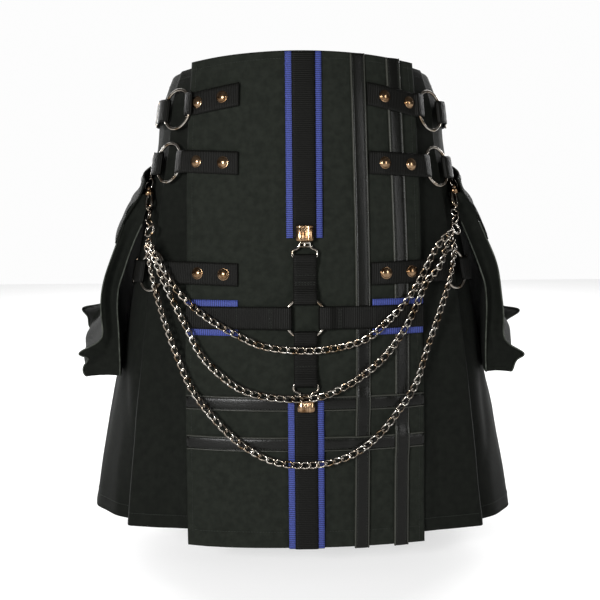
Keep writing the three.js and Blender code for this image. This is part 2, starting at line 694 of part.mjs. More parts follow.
// A strap's end round the wire of a side ring, in the ring's own plane
function ringLoop(place, side) {
  const { middle, out, way } = place;
  const wire = middle.clone().addScaledVector(way, side * RING_RADIUS);
  const reach = RING_WIRE + 0.9 + WEB / 2;
  const inner = RING_WIRE + 6.6;
  const steps = [
    [7, reach - 0.4], [0, reach], [-inner + 2, reach - 0.6], [-inner, 0.9], [-inner, -0.9],
    [-inner + 2, 0.6 - reach], [0, -reach], [2.5, -reach],
  ];
  return steps.map(([along, rise]) => wire.clone().addScaledVector(way, side * along)
    .addScaledVector(out, rise));
}

// How fast a table's column grows downwards
function flareAt(rows, column, drop) {
  const reach = 12;
  return (readTable(rows, column, drop + reach) - readTable(rows, column, drop - reach)) / (2 * reach);
}

// The level direction straight out of the body's oval at a point near it
function ovalWay(x, y, drop) {
  const width = readTable(BODY, 'halfWidth', drop);
  const depth = readTable(BODY, 'halfDepth', drop);
  const middle = readTable(BODY, 'middle', drop);
  return new THREE.Vector2(x / width ** 2, (y - middle) / depth ** 2).normalize();
}

function addRow(row, sideName, side) {
  const place = ringPlace(row);
  const half = WEB_WIDTH / 2;
  const dropAt = (x) => lerp(row.innerDrop, row.ringDrop,
    clamp((x - row.inner) / (row.ringX - RING_RADIUS - row.inner), 0, 1));
  const low = LAY_GAP + SEAM_GAP + WEB / 2;
  const lift = side > 0 ? low + LEATHER + LAY_GAP : low;
  const onApron = refineLine([[row.inner, low], [row.inner + 9, low], [row.inner + 16, lift],
    [readTable(APRON, 'halfWidth', row.innerDrop) - STRAP_LEAVES, lift]], 10).map(([x, out]) => {
    const point = apronPoint(x, dropAt(x), out);
    return new THREE.Vector2(point.x, point.y);
  });
  const front = [...onApron, ...ringLoop(place, -1)];
  const rearTurns = [0.1, 0.2, 0.3, 0.4, 0.5, 0.6, 0.7, 0.8, 0.9, 1];
  const rearStart = place.along + RING_RADIUS + 14;
  const rearEnd = place.ring.total * REAR_STRAP_SHARE;
  const layOff = place.folds + LAY_GAP + SEAM_GAP + WEB / 2;
  const rear = [
    ...ringLoop(place, 1).reverse(),
    ...rearTurns.map((t) => place.ring.at(lerp(rearStart, rearEnd, t), lerp(place.standOff, layOff, Math.sqrt(t)))),
  ];
  const apronFlare = flareAt(APRON, 'front', row.innerDrop);
  const bodyFlare = flareAt(BODY, 'halfWidth', row.ringDrop);
  const lay = (x, y, station) => {
    const away = ovalWay(x, y, row.ringDrop);
    const flare = lerp(apronFlare, bodyFlare, clamp((x - 120) / 40, 0, 1)) * station;
    return new THREE.Vector3(side * (x + away.x * flare), y + away.y * flare,
      TOP_EDGE - dropAt(x) - station);
  };
  for (const [kind, line] of [['front', front], ['rear', rear]]) {
    const outline = thickOutline(line.map((p) => [p.x, p.y]), WEB);
    addStrip(`strap_${kind}_${sideName}_${row.row}`, webbing, outline, [-half, half], lay);
  }
  const ring = addMesh(`ring_${sideName}_${row.row}`, steel, ringGeometry(RING_RADIUS, RING_WIRE));
  const out = new THREE.Vector3(side * place.out.x, place.out.y, bodyFlare).normalize();
  setOnFace(ring, new THREE.Vector3(side * place.middle.x, place.middle.y, TOP_EDGE - row.ringDrop), out);
  row.rivets.forEach((x, k) => {
    const profile = RIVET_PROFILE.map(([r, h]) => new THREE.Vector2(r * RIVET_RADIUS, h * RIVET_HEIGHT));
    const dome = new THREE.LatheGeometry(profile, 10);
    dome.rotateX(Math.PI / 2);
    const rivet = addMesh(`rivet_${sideName}_${row.row}_${k + 1}`, steel, dome);
    const seat = lift + WEB / 2 + LAY_GAP;
    setOnFace(rivet, apronPoint(side * x, dropAt(x), seat), apronNormal(side * x, dropAt(x)));
  });
}

// The depth at which a chain hangs: over the apron's trim, then back to the hub at the side,
// where its last links are gathered further back
function chainPoint([x, drop, gathered], chain) {
  const reach = Math.abs(x);
  const onClip = Math.max(0, 1 - (reach / 45) ** 2) * chain.overClip;
  const out = CHAIN_STANDOFF + onClip;
  if (reach <= CHAIN_LEAVES) return apronPoint(x, drop, out);
  const edge = apronPoint(CHAIN_LEAVES, drop, out).y;
  const t = (reach - CHAIN_LEAVES) / (HUB.x - CHAIN_LEAVES);
  const y = lerp(edge, CHAIN_BACK, clamp(t, 0, 1.1) ** 1.3) + (gathered ?? 0) + chain.stack * clamp(t, 0, 1);
  return new THREE.Vector3(x, y, TOP_EDGE - drop);
}

function addChain(chain) {
  const route = new THREE.CatmullRomCurve3(chain.points.map((point) => chainPoint(point, chain)));
  const sides = 6;
  const section = new THREE.Shape(Array.from({ length: sides }, (_, k) => {
    const turn = (2 * Math.PI * k) / sides;
    return new THREE.Vector2(CHAIN_RADIUS * Math.cos(turn), CHAIN_RADIUS * Math.sin(turn));
  }));
  const geometry = new THREE.ExtrudeGeometry(section, {
    steps: 48, bevelEnabled: false, extrudePath: route,
  });
  addMesh(chain.name, steel, geometry);
}

// A swivel clasp: the ring it hangs by below the second row's rear strap, its body, and the ring
// that gathers the three chains
function addClasp(sideName, side) {
  const row = ROWS[1];
  const { ring, along, standOff } = ringPlace(row);
  const under = ring.at(along + RING_RADIUS + CLASP_HANG, standOff + CLASP_OUT);
  const hangDrop = row.ringDrop + WEB_WIDTH / 2 + DEE_RADIUS + CLASP_WIRE + SEAM_GAP;
  const top = new THREE.Vector3(side * under.x, under.y, TOP_EDGE - hangDrop);
  const hub = new THREE.Vector3(side * HUB.x, HUB.y, TOP_EDGE - HUB.drop);
  const length = top.distanceTo(hub);
  const dee = ringGeometry(DEE_RADIUS, CLASP_WIRE);
  const body = new THREE.CylinderGeometry(3.4, 4.6, length - DEE_RADIUS - HUB_RADIUS + 2, 8);
  body.translate(0, (HUB_RADIUS - DEE_RADIUS - length) / 2, 0);
  const gather = ringGeometry(HUB_RADIUS, CLASP_WIRE);
  gather.translate(0, -length, 0);
  const mesh = addMesh(`clasp_${sideName}`, steel, joined([dee, body, gather]));
  const up = top.clone().sub(hub).normalize();
  const out = new THREE.Vector3(side, 0, 0);
  out.addScaledVector(up, -out.dot(up)).normalize();
  mesh.position.copy(top);
  mesh.quaternion.setFromRotationMatrix(
    new THREE.Matrix4().makeBasis(new THREE.Vector3().crossVectors(up, out), up, out));
}

// How far a pocket's rear half bends inwards round the hip: its back all the way down, its
// face only near the top
function wrapAt(across, drop, wrapBottom) {
  const low = clamp((drop - POCKET[0].drop) / (POCKET[POCKET.length - 1].drop - POCKET[0].drop), 0, 1);
  return lerp(POCKET_WRAP, wrapBottom, low) * (2 * Math.max(across - 0.5, 0)) ** 2;
}

// A point of a pocket: how far across its width, its drop at the front edge, its reach sideways
function pocketPoint(side, across, drop, reach) {
  return new THREE.Vector3(
    side * (reach + POCKET_TOE * across),
    POCKET_FRONT + POCKET_WIDTH * across,
    TOP_EDGE - drop + POCKET_LIFT * across,
  );
}

// How far the body reaches sideways at a place along its depth
function bodyReach(y, drop) {
  const power = readTable(BODY, 'square', drop);
  const share = Math.abs(y - readTable(BODY, 'middle', drop)) / readTable(BODY, 'halfDepth', drop);
  return readTable(BODY, 'halfWidth', drop) * (1 - share ** power) ** (1 / power);
}

function addPocket(sideName, side) {
  const sheets = { outer: [], inner: [] };
  const [top, bottom] = [POCKET[0].drop, POCKET[POCKET.length - 1].drop];
  for (const drop of POCKET_LEVELS) {
    const back = readTable(POCKET, 'back', drop);
    const low = (drop - top) / (bottom - top);
    const rear = (across) => back - wrapAt(across, drop, POCKET_WRAP_LOW);
    const face = (across) => back - wrapAt(across, drop, 0) + readTable(POCKET, 'deep', drop)
      * (1 + POCKET_REAR_DEEPER * low * across + POCKET_CROWN * Math.sin(Math.PI * across));
    const pinch = POCKET_PINCH * Math.sin(Math.PI * clamp(low * 1.1, 0, 1));
    const loop = [
      [1, rear(1)], [0.75, rear(0.75)], [0.5, back], [0, back],
      [pinch, lerp(back, face(0), 0.5)],
      [0, face(0)], [0.25, face(0.25)], [0.5, face(0.5)], [0.75, face(0.75)], [1, face(1)],
      [1 - pinch, lerp(rear(1), face(1), 0.5)],
    ];
    sheets.outer.push(loop.map(([across, reach]) => pocketPoint(side, across, drop, reach)));
    const wall = CLOTH / POCKET_WIDTH;
    sheets.inner.push(loop.map(([across, reach]) => {
      const inset = clamp(across, pinch + wall, 1 - pinch - wall);
      const limit = clamp(reach, rear(across) + CLOTH, face(across) - CLOTH);
      return pocketPoint(side, inset, Math.min(drop, bottom - CLOTH), limit);
    }));
  }
  sheets.inner.splice(-2, 1);
  addCup(`pocket_${sideName}`, underDenim, sheets.outer, sheets.inner);
  const line = FLAP.map(({ drop, reach }) => [reach, drop]);
  const over = FLAP_OVERHANG / POCKET_WIDTH;
  const stations = [-over, 0.25, 0.5, 0.625, 0.75, 0.875, 1 + over];
  const [sewn, free] = [FLAP[0], FLAP[FLAP.length - 1]];
  const place = (reach, drop, across) => {
    const crown = FLAP_CROWN * Math.sin(Math.PI * clamp(across, 0, 1)) + 1.4 * clamp(across, 0, 1);
    const wrap = wrapAt(across, drop, 0);
    const loose = 1 - clamp((drop - sewn.drop) / (free.drop - sewn.drop), 0, 1);
    const y = POCKET_FRONT + POCKET_WIDTH * across;
    const onBody = bodyReach(y, drop - POCKET_LIFT * across) + FLAP_SEAM_OUT
      + FLAP_SEAM_FRONT * clamp(1 - across, 0, 1) ** 2;
    const drawnIn = onBody - (sewn.reach + POCKET_TOE * across + crown - wrap);
    return pocketPoint(side, across, drop, reach + crown - wrap + drawnIn * loose ** 2);
  };
  addStrip(`pocket_flap_${sideName}`, denim, thickOutline(line, CLOTH), stations, place);
}

// A pouch: rings of an outer and an inner wall, open at the top and closed at the bottom
function addCup(name, material, outer, inner) {
  const count = outer[0].length;
  const corners = [...outer.flat(), ...inner.flat()];
  const shift = outer.length * count;
  const triangles = [];
  const band = (start, next, turned) => {
    for (let k = 0; k < count; k += 1) {
      const [a, b] = [start + k, start + ((k + 1) % count)];
      const [c, d] = [next + k, next + ((k + 1) % count)];
      triangles.push(...(turned ? [[a, d, b], [a, c, d]] : [[a, b, d], [a, d, c]]));
    }
  };
  for (let r = 0; r < outer.length - 1; r += 1) band(r * count, (r + 1) * count, false);
  for (let r = 0; r < inner.length - 1; r += 1) band(shift + r * count, shift + (r + 1) * count, true);
  band(0, shift, true);
  const close = (ring, start, turned) => {
    const middle = ring.reduce((sum, p) => sum.add(p), new THREE.Vector3()).divideScalar(count);
    corners.push(middle);
    for (let k = 0; k < count; k += 1) {
      const [a, b] = [start + k, start + ((k + 1) % count)];
      triangles.push(turned ? [a, corners.length - 1, b] : [a, b, corners.length - 1]);
    }
  };
  close(outer[outer.length - 1], (outer.length - 1) * count, false);
  close(inner[inner.length - 1], shift + (inner.length - 1) * count, true);
  addBody(name, material, corners, triangles);
}

addApron();
addUnderApron();
addPleats('pleats_right', 1);
addPleats('pleats_left', -1);
addLeather();
addMiddleWebbing();
addHarness();
for (const clip of CLIPS) addClip(clip);
for (const [sideName, side] of [['left', -1], ['right', 1]]) {
  for (const row of ROWS) addRow(row, sideName, side);
  addClasp(sideName, side);
  addPocket(sideName, side);
}
for (const chain of CHAINS) addChain(chain);

export default kilt;
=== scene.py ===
# %% [markdown]
# # A denim utility kilt
#
# The real thing is a wrap of black-green cotton twill: a flat apron over an under apron, with
# knife pleats round the sides and back, cargo pockets on the hips, padded leather strips, blue
# ribbon under black webbing, ring straps and three draped curb chains. It is shown worn, so the
# cloth keeps the form of the hips. Every surface here is computed on a grid from the same tables
# as the solid model, so each new piece lies on its solid. The cells work in millimetres, with
# "drop" measured down from the top of the front edge, and meshes are made in metres.

import math

import bpy
import numpy as np
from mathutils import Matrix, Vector


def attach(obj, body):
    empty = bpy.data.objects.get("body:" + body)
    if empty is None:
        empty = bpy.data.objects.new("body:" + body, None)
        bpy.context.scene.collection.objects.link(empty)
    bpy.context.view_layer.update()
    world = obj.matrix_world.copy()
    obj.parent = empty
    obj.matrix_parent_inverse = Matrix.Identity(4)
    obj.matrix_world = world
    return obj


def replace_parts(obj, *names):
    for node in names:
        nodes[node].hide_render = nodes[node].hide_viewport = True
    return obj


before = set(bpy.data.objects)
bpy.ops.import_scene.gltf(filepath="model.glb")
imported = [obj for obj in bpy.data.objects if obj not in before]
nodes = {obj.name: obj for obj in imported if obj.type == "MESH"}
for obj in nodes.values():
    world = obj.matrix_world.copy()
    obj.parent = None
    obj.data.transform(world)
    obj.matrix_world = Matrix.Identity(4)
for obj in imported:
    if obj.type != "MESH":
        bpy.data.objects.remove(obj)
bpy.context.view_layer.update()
print("frame:", len(nodes), "nodes")

# %% [markdown]
# ## The garment's tables
# A tailor works from measurements taken at fixed heights: waist, hip, hem. The same rows are
# kept here, and a smooth curve through them gives every height between. That keeps the apron,
# the body and all that lies on them in step, because each piece asks the same tables.

# %% Tables of the garment, in millimetres
TOP_EDGE = 30.0
APRON_DROP = 610.0
PLEAT_DROP = 601.0
CLOTH = 2.0
UNDER_APRON_HALF = 118.0

# drop, half width, how far forward the middle stands, how far the edges lie behind it
APRON = np.array([
    [0, 139, 126.5, 46],
    [60, 143, 132.5, 42],
    [140, 145, 135.5, 36],
    [250, 147, 138, 30],
    [430, 150, 143, 26],
    [610, 149, 148, 20],
], float)
APRON_CURVE = 2.35

# drop, half width, middle, half depth and squareness of the body's oval
BODY = np.array([
    [0, 164, 2, 120, 2.0],
    [35, 178, 3, 126, 2.02],
    [60, 186.5, 4.5, 130, 2.05],
    [110, 191, 8, 137, 2.1],
    [250, 217, 17, 150, 2.26],
    [430, 250.5, 28, 167, 2.45],
    [610, 282, 38, 182, 2.6],
], float)

# share of the way round at the waist and at the hem, how far a fold stands, how deep it tucks
PLEATS = [
    (0.375, 0.296, 9, 24),
    (0.5, 0.492, 8.5, 26),
    (0.61, 0.606, 8, 24),
    (0.72, 0.717, 9, 27),
    (0.825, 0.822, 8, 24),
    (0.93, 0.926, 8.5, 25),
]
PLEAT_OPENING = np.array([[0, 0.11, -0.3], [150, 0.3, 0], [300, 0.5, 0.42], [610, 1, 1]], float)

SIDES = {"left": -1, "right": 1}

# middle lines of what runs down the apron: drop, x
UPRIGHTS = {
    "middle": np.array([[0, 0], [300, 0], [610, 0]], float),
    "inner": np.array([[0, 66], [300, 71.5], [610, 68.5]], float),
    "outer": np.array([[0, 111], [300, 120.5], [610, 118.5]], float),
}
CROSSBARS = {"leather_cross_upper": 430.5, "leather_cross_lower": 480.5}
# the crossbar that each upright passes over, and the upright that each crossbar passes over
PASSES_OVER = {
    "inner": "leather_cross_upper",
    "outer": "leather_cross_lower",
    "leather_cross_upper": "outer",
    "leather_cross_lower": "inner",
}


def unit(vectors):
    """Vectors brought to length one."""
    return vectors / np.linalg.norm(vectors, axis=-1, keepdims=True)


def read_rows(rows, column, drop):
    """A column of a table at any drop: cubic Hermite through its rows,
    value = a + (b - a) t^2 (3 - 2t) + t (1 - t) span (slope_a (1 - t) - slope_b t)."""
    at = np.clip(drop, rows[0, 0], rows[-1, 0])
    k = np.clip(np.searchsorted(rows[:, 0], at, side="left") - 1, 0, len(rows) - 2)
    value = rows[:, column]
    before = np.maximum(np.arange(len(rows)) - 1, 0)
    after = np.minimum(np.arange(len(rows)) + 1, len(rows) - 1)
    slope = (value[after] - value[before]) / (rows[after, 0] - rows[before, 0])
    span = rows[k + 1, 0] - rows[k, 0]
    t = (at - rows[k, 0]) / span
    ease = t * t * (3 - 2 * t)
    bend = t * (1 - t) * span * (slope[k] * (1 - t) - slope[k + 1] * t)
    return value[k] + (value[k + 1] - value[k]) * ease + bend


def read_one(rows, column, drop):
    """A column of a table at one drop, as a plain number."""
    return float(read_rows(rows, column, np.array(float(drop))))


def apron_depth(x, drop):
    """y of the apron's face: edge_back |x / half_width|^2.35 - front."""
    share = np.abs(x) / read_rows(APRON, 1, drop)
    return read_rows(APRON, 3, drop) * share ** APRON_CURVE - read_rows(APRON, 2, drop)


def apron_point(x, drop, out):
    """A point moved out from the apron's face along the face's normal (dy/dx, -1, dy/dz)."""
    x, drop, out = np.broadcast_arrays(x, drop, out)
    across = apron_depth(x + 0.5, drop) - apron_depth(x - 0.5, drop)
    down = apron_depth(x, drop - 0.5) - apron_depth(x, drop + 0.5)
    normal = np.stack([across, -np.ones_like(across), down], -1)
    place = np.stack([x, apron_depth(x, drop), TOP_EDGE - drop], -1)
    return place + unit(normal) * out[..., None]


def apron_normal(x, drop):
    """The way straight out of the apron's face."""
    return apron_point(x, drop, 1.0) - apron_point(x, drop, 0.0)


print("apron half width at the hem:", read_one(APRON, 1, APRON_DROP))

# %% [markdown]
# ## Tools for surfaces
# Cloth, strips and wires differ in section but not in kind: each is a section carried along a
# path. So two tools are enough for nearly everything: a grid of points, and a band whose closed
# section is swept along a path. Unevenness comes from a few slow waves in chosen directions,
# which keeps creases soft and never repeats like a stamped pattern.


# %% Mesh tools
def make_mesh(name, points, quads, material, uv=None):
    """A smooth mesh from points in millimetres and faces of four corners."""
    points = np.asarray(points, float).reshape(-1, 3) / 1000
    quads = np.asarray(quads, np.int64)
    mesh = bpy.data.meshes.new(name)
    mesh.from_pydata(points.tolist(), [], quads.tolist())
    if uv is not None:
        corners = np.asarray(uv, float).reshape(-1, 2)[quads.reshape(-1)]
        layer = mesh.uv_layers.new(name="UVMap")
        layer.data.foreach_set("uv", corners.reshape(-1))
    mesh.polygons.foreach_set("use_smooth", np.ones(len(quads), bool))
    mesh.materials.append(material)
    mesh.update()
    obj = bpy.data.objects.new(name, mesh)
    bpy.context.collection.objects.link(obj)
    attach(obj, "root")
    return obj


def grid_quads(rows, columns, closed=False):
    """The faces between neighbours of a rows x columns grid; closed joins the last column on."""
    span = columns if closed else columns - 1
    r, c = np.meshgrid(np.arange(rows - 1), np.arange(span), indexing="ij")
    a = r * columns + c
    b = r * columns + (c + 1) % columns
    return np.stack([a, b, b + columns, a + columns], -1).reshape(-1, 4)


def thicken(obj, thickness, offset=-1.0):
    """Gives a cloth grid its wall: the sheet is copied inwards and closed round its rim."""
    wall = obj.modifiers.new("wall", "SOLIDIFY")
    wall.thickness = thickness / 1000
    wall.offset = offset


def waves(x, y, size, seed):
    """Slow unevenness between about -1 and 1: the mean of six sines in spread directions."""
    rng = np.random.default_rng(seed)
    total = np.zeros(np.broadcast(x, y).shape)
    for k in range(6):
        turn = math.pi * (k + rng.uniform(0, 0.8)) / 6
        scale = size * rng.uniform(0.7, 1.5)
        way = x * math.cos(turn) + y * math.sin(turn)
        total += np.sin(2 * math.pi * way / scale + rng.uniform(0, 6.28))
    return total / 3


def folds(x, y, lines, seed):
    """Creases placed one by one. Each line is (x0, y0, x1, y1, half width, height): a soft ridge or
    trough that fades at its ends, height exp(-(distance / half width)^2), bent by slow waves."""
    bend_x = x + 5 * waves(x, y, 90, seed)
    bend_y = y + 5 * waves(x, y, 90, seed + 1)
    total = np.zeros(np.broadcast(x, y).shape)
    for x0, y0, x1, y1, width, height in lines:
        length = math.hypot(x1 - x0, y1 - y0)
        way = np.array([(x1 - x0) / length, (y1 - y0) / length])
        along = ((bend_x - x0) * way[0] + (bend_y - y0) * way[1]) / length
        off = (bend_x - x0) * -way[1] + (bend_y - y0) * way[0]
        fade = np.clip(np.minimum(along + 0.15, 1.15 - along) / 0.4, 0, 1)
        fade = fade * fade * (3 - 2 * fade)
        total += height * np.exp(-((off / (width * (0.6 + 0.6 * np.clip(along, 0, 1)))) ** 2)) * fade
    return total


def lengths_along(path):
    """The length of a path from its start to each of its points."""
    return np.concatenate([[0], np.cumsum(np.linalg.norm(np.diff(path, axis=0), axis=1))])


def read_between(at, stops, table):
    """The rows of a table read at any places between its stops, straight from row to row."""
    return np.stack([np.interp(at, stops, column) for column in table.T], -1)


def rounded(path, passes):
    """A path whose corners are eased, each point moved to (a + 2b + c) / 4 of its neighbours."""
    for _ in range(passes):
        path[1:-1] = (path[:-2] + 2 * path[1:-1] + path[2:]) / 4
    return path


def even_path(points, step, passes=2):
    """A path of short even steps: resampled by length, then rounded."""
    points = np.asarray(points, float)
    lengths = lengths_along(points)
    count = max(int(round(lengths[-1] / step)), 2)
    at = np.linspace(0, lengths[-1], count + 1)
    return rounded(read_between(at, lengths, points), passes)


def path_normals(path):
    """The side of a flat path at each point: its direction turned a quarter turn to the left."""
    way = unit(np.gradient(path, axis=0))
    return np.stack([-way[:, 1], way[:, 0]], -1)


def close_ends(quads, rows, sides):
    """Faces that close both ends of a stack of rings, each from side to side."""
    return np.concatenate([quads, ring_cap(sides)[:, ::-1], (rows - 1) * sides + ring_cap(sides)])


def ring_cap(sides):
    """Faces over one ring of points, from side to side."""
    k = np.arange(sides // 2 - 1)
    return np.stack([k, k + 1, sides - 2 - k, sides - 1 - k], -1)


def facing_out(points, quads):
    """The faces of a closed mesh, turned over if the volume inside them comes out negative."""
    a, b, c, d = (points.reshape(-1, 3)[quads[:, k]] for k in range(4))
    volume = np.sum(np.cross(a, b) * c) + np.sum(np.cross(a, c) * d)
    return quads if volume >= 0 else quads[:, ::-1]


def laid_again(quads, count, size):
    """The faces of one small mesh of so many points, repeated for each of its copies."""
    return (quads[None] + (np.arange(count) * size)[:, None, None]).reshape(-1, 4)


def circles(side, up, sides):
    """A circle of radius one across each point of a path, cos t side + sin t up."""
    turn = np.linspace(0, 2 * math.pi, sides, endpoint=False)[:, None]
    return np.cos(turn) * side[:, None] + np.sin(turn) * up[:, None]


def band(name, path, section, place, material):
    """A closed band: the section (across, height) stands on a flat path (along, height) and
    place(along, across, height) puts each corner on the garment. The ends are closed from side
    to side, so that they stay flat."""
    section = np.asarray(section, float)
    side = path_normals(path)
    along = path[:, :1] + side[:, :1] * section[None, :, 1]
    height = path[:, 1:] + side[:, 1:] * section[None, :, 1]
    across = np.broadcast_to(section[None, :, 0], along.shape)
    points = place(along, across, height)
    quads = close_ends(grid_quads(*along.shape, closed=True), *along.shape)
    uv = np.stack([across, np.broadcast_to(lengths_along(path)[:, None], along.shape)], -1)
    return make_mesh(name, points, facing_out(points, quads), material, uv)


def flat_section(width, thick, columns=12):
    """The section of webbing: a flat bar with rounded edges, its top then its underside."""
    x = np.linspace(-1, 1, columns)
    edge = np.sqrt(np.clip(1 - np.abs(x) ** 14, 0.04, 1))
    top = np.stack([x * width / 2, edge * thick / 2], -1)
    under = np.stack([x * width / 2, -edge * thick / 2], -1)
    return np.concatenate([top, under[::-1]])


def tube(name, path, radius, material, closed=False, sides=12):
    """A round wire along a path in space; its frame is carried on without twist."""
    path = np.asarray(path, float)
    rows = len(path)
    if closed:
        way = unit(np.roll(path, -1, axis=0) - np.roll(path, 1, axis=0))
        quads = grid_quads(rows + 1, sides, closed=True) % (rows * sides)
    else:
        way = unit(np.gradient(path, axis=0))
        quads = close_ends(grid_quads(rows, sides, closed=True), rows, sides)
    flat = np.linalg.svd(path - path.mean(0))[2][2]
    side = unit(np.cross(way, flat))
    radii = np.broadcast_to(radius, rows)[:, None, None]
    points = path[:, None] + circles(side, np.cross(side, way), sides) * radii
    return make_mesh(name, points, facing_out(points, quads), material)


def frame_of(direction, hint=(0, 0, 1)):
    """Three unit vectors (right, up, direction) with up as near to the hint as it can be."""
    out = unit(np.asarray(direction, float))
    up = unit(np.asarray(hint, float) - out * np.dot(hint, out))
    return np.cross(up, out), up, out


def turned(name, profile, origin, axis, material, sides=40, squash=(1.0, 1.0),
           hint=(0, 0, 1), grooves=()):
    """A turned piece: the profile (radius, height) spun about an axis through origin. Each
    groove is an angle about which the radius dips by a quarter over a tenth of a radian."""
    profile = np.asarray(profile, float)
    right, up, out = frame_of(axis, hint)
    turn = np.linspace(0, 2 * math.pi, sides, endpoint=False)
    ring = squash[0] * np.cos(turn)[:, None] * right + squash[1] * np.sin(turn)[:, None] * up
    for groove in grooves:
        ring = ring * (1 - 0.25 * np.exp(-(((turn - groove) / 0.1) ** 2)))[:, None]
    points = np.asarray(origin, float) + profile[:, :1, None] * ring[None] + profile[:, 1:, None] * out
    quads = close_ends(grid_quads(len(profile), sides, closed=True), len(profile), sides)
    return make_mesh(name, points, facing_out(points, quads), material)


def join(name, objects):
    """Several meshes of one piece as one object."""
    bpy.ops.object.select_all(action="DESELECT")
    for obj in objects:
        obj.select_set(True)
    bpy.context.view_layer.objects.active = objects[0]
    bpy.ops.object.join()
    objects[0].name = name
    return objects[0]


print("tools ready")

# %% [markdown]
# ## Finishes
# Twill shows fine slanting ribs about a millimetre apart, so the denim's bump comes from a
# slanted wave on its own UV, which is in millimetres. The sides and pockets are the same cloth at
# half tone: painted shade for the light that falls off round the sides. Webbing and ribbon are
# ribbed across their length, with a painted highlight on the ribs and painted shade between them.
# The strips are a grained black leather, rubbed paler along their two cords, and that paler tone
# also paints the highlight along each cord. The metal is nickel plate that mirrors the room; its
# warm brown patches, and the darker redder tone of rivets and barrels, are painted reflections of
# dark brown surroundings.


# %% Materials
def new_material(name, colour, roughness, specular=0.5, metallic=0.0):
    """A new material and its shader, with its plain constants set."""
    material = bpy.data.materials.new(name)
    material.use_nodes = True
    shader = material.node_tree.nodes["Principled BSDF"]
    shader.inputs["Base Color"].default_value = (*colour, 1)
    shader.inputs["Roughness"].default_value = roughness
    shader.inputs["Specular IOR Level"].default_value = specular
    shader.inputs["Metallic"].default_value = metallic
    return material, shader


def node(material, kind, **values):
    """A new shader node; each value goes to the socket or else the setting of that name."""
    made = material.node_tree.nodes.new(kind)
    for key, value in values.items():
        if key in made.inputs:
            made.inputs[key].default_value = value
        else:
            setattr(made, key, value)
    return made


def link(material, source, out, target, into):
    material.node_tree.links.new(source.outputs[out], target.inputs[into])


def two_tones(material, shader, first, second, start=0.0, end=1.0):
    """The base colour as a ramp from one tone to another; returns the ramp."""
    ramp = node(material, "ShaderNodeValToRGB")
    for stop, position, colour in zip(ramp.color_ramp.elements, (start, end), (first, second)):
        stop.position = position
        stop.color = (*colour, 1)
    link(material, ramp, "Color", shader, "Base Color")
    return ramp


def mottled(material, shader, dark, pale, scale):
    """Colour that drifts between two tones on noise; returns the ramp that mixes them."""
    place = node(material, "ShaderNodeTexCoord")
    noise = node(material, "ShaderNodeTexNoise", Scale=scale, Detail=5.0, Roughness=0.6)
    ramp = two_tones(material, shader, dark, pale, 0.36, 0.64)
    link(material, place, "Object", noise, "Vector")
    link(material, noise, "Fac", ramp, "Fac")
    return ramp


def woven_bump(material, shader, pitch, turn, strength, distance, fuzz=0.35, ramp=None):
    """Ribs of a weave: a wave on the UV (in mm), turned, roughened by fine noise. With a ramp,
    the ribs also carry the colour: a painted highlight on their backs and painted shade between
    them."""
    place = node(material, "ShaderNodeUVMap")
    mapping = node(material, "ShaderNodeMapping")
    mapping.inputs["Rotation"].default_value = (0, 0, turn)
    wave = node(material, "ShaderNodeTexWave", Scale=0.314 / pitch, Distortion=0.6, Detail=1.0)
    wave.inputs["Detail Scale"].default_value = 2.0
    noise = node(material, "ShaderNodeTexNoise", Scale=1.1, Detail=4.0)
    mix = node(material, "ShaderNodeMath", operation="MULTIPLY_ADD")
    mix.inputs[1].default_value = fuzz
    bump = node(material, "ShaderNodeBump", Strength=strength, Distance=distance)
    link(material, place, "UV", mapping, "Vector")
    link(material, mapping, "Vector", wave, "Vector")
    link(material, place, "UV", noise, "Vector")
    link(material, noise, "Fac", mix, 0)
    link(material, wave, "Fac", mix, 2)
    link(material, mix, "Value", bump, "Height")
    link(material, bump, "Normal", shader, "Normal")
    # painted highlight on the rib backs and painted shade in the grooves between them
    if ramp is not None:
        drift = ramp.inputs["Fac"].links[0].from_node
        both = node(material, "ShaderNodeMath", operation="MULTIPLY_ADD")
        both.inputs[1].default_value = 0.45
        half = node(material, "ShaderNodeMath", operation="MULTIPLY")
        half.inputs[1].default_value = 0.55
        link(material, drift, "Fac", half, 0)
        link(material, wave, "Fac", both, 0)
        link(material, half, "Value", both, 2)
        link(material, both, "Value", ramp, "Fac")


def cord_wear_and_highlight(material, shader, middle, edge):
    """Leather is painted paler on its two raised cords, for rubbed wear and as a painted highlight
    along each cord: the colour follows how far the UV lies from the strip's middle line, in mm,
    between the groove and the crest of the cord."""
    place = node(material, "ShaderNodeUVMap")
    split = node(material, "ShaderNodeSeparateXYZ")
    away = node(material, "ShaderNodeMath", operation="ABSOLUTE")
    share = node(material, "ShaderNodeMapRange")
    share.inputs["From Min"].default_value = CORD_GROOVE
    share.inputs["From Max"].default_value = CORD_CREST
    ramp = two_tones(material, shader, middle, edge)
    link(material, place, "UV", split, "Vector")
    link(material, split, "X", away, 0)
    link(material, away, "Value", share, "Value")
    link(material, share, "Result", ramp, "Fac")


# how far the groove and the crest of a leather strip's cord lie from its middle line, in mm
CORD_GROOVE = 6.9
CORD_CREST = 7.9
DENIM_DARK = (0.0068, 0.0081, 0.0062)
DENIM_PALE = (0.0106, 0.0124, 0.0096)
SEAM_HIGHLIGHT_TONE = (0.05, 0.055, 0.046)
SLOW_DRIFT = 120.0
FINE_SPECKLE = 900.0


def twill(name, tone):
    """The garment's cloth; tone darkens a piece as painted shade, for the sides and pockets that get
    less light than the apron.
    """
    dark, pale = (tuple(tone * part for part in colour) for colour in (DENIM_DARK, DENIM_PALE))
    material, shader = new_material(name, pale, 0.86, 0.08)
    shader.inputs["Sheen Weight"].default_value = 0.01
    shader.inputs["Sheen Roughness"].default_value = 0.4
    mottled(material, shader, dark, pale, SLOW_DRIFT)
    woven_bump(material, shader, 1.15, math.radians(62), 0.5, 0.0004)
    return material


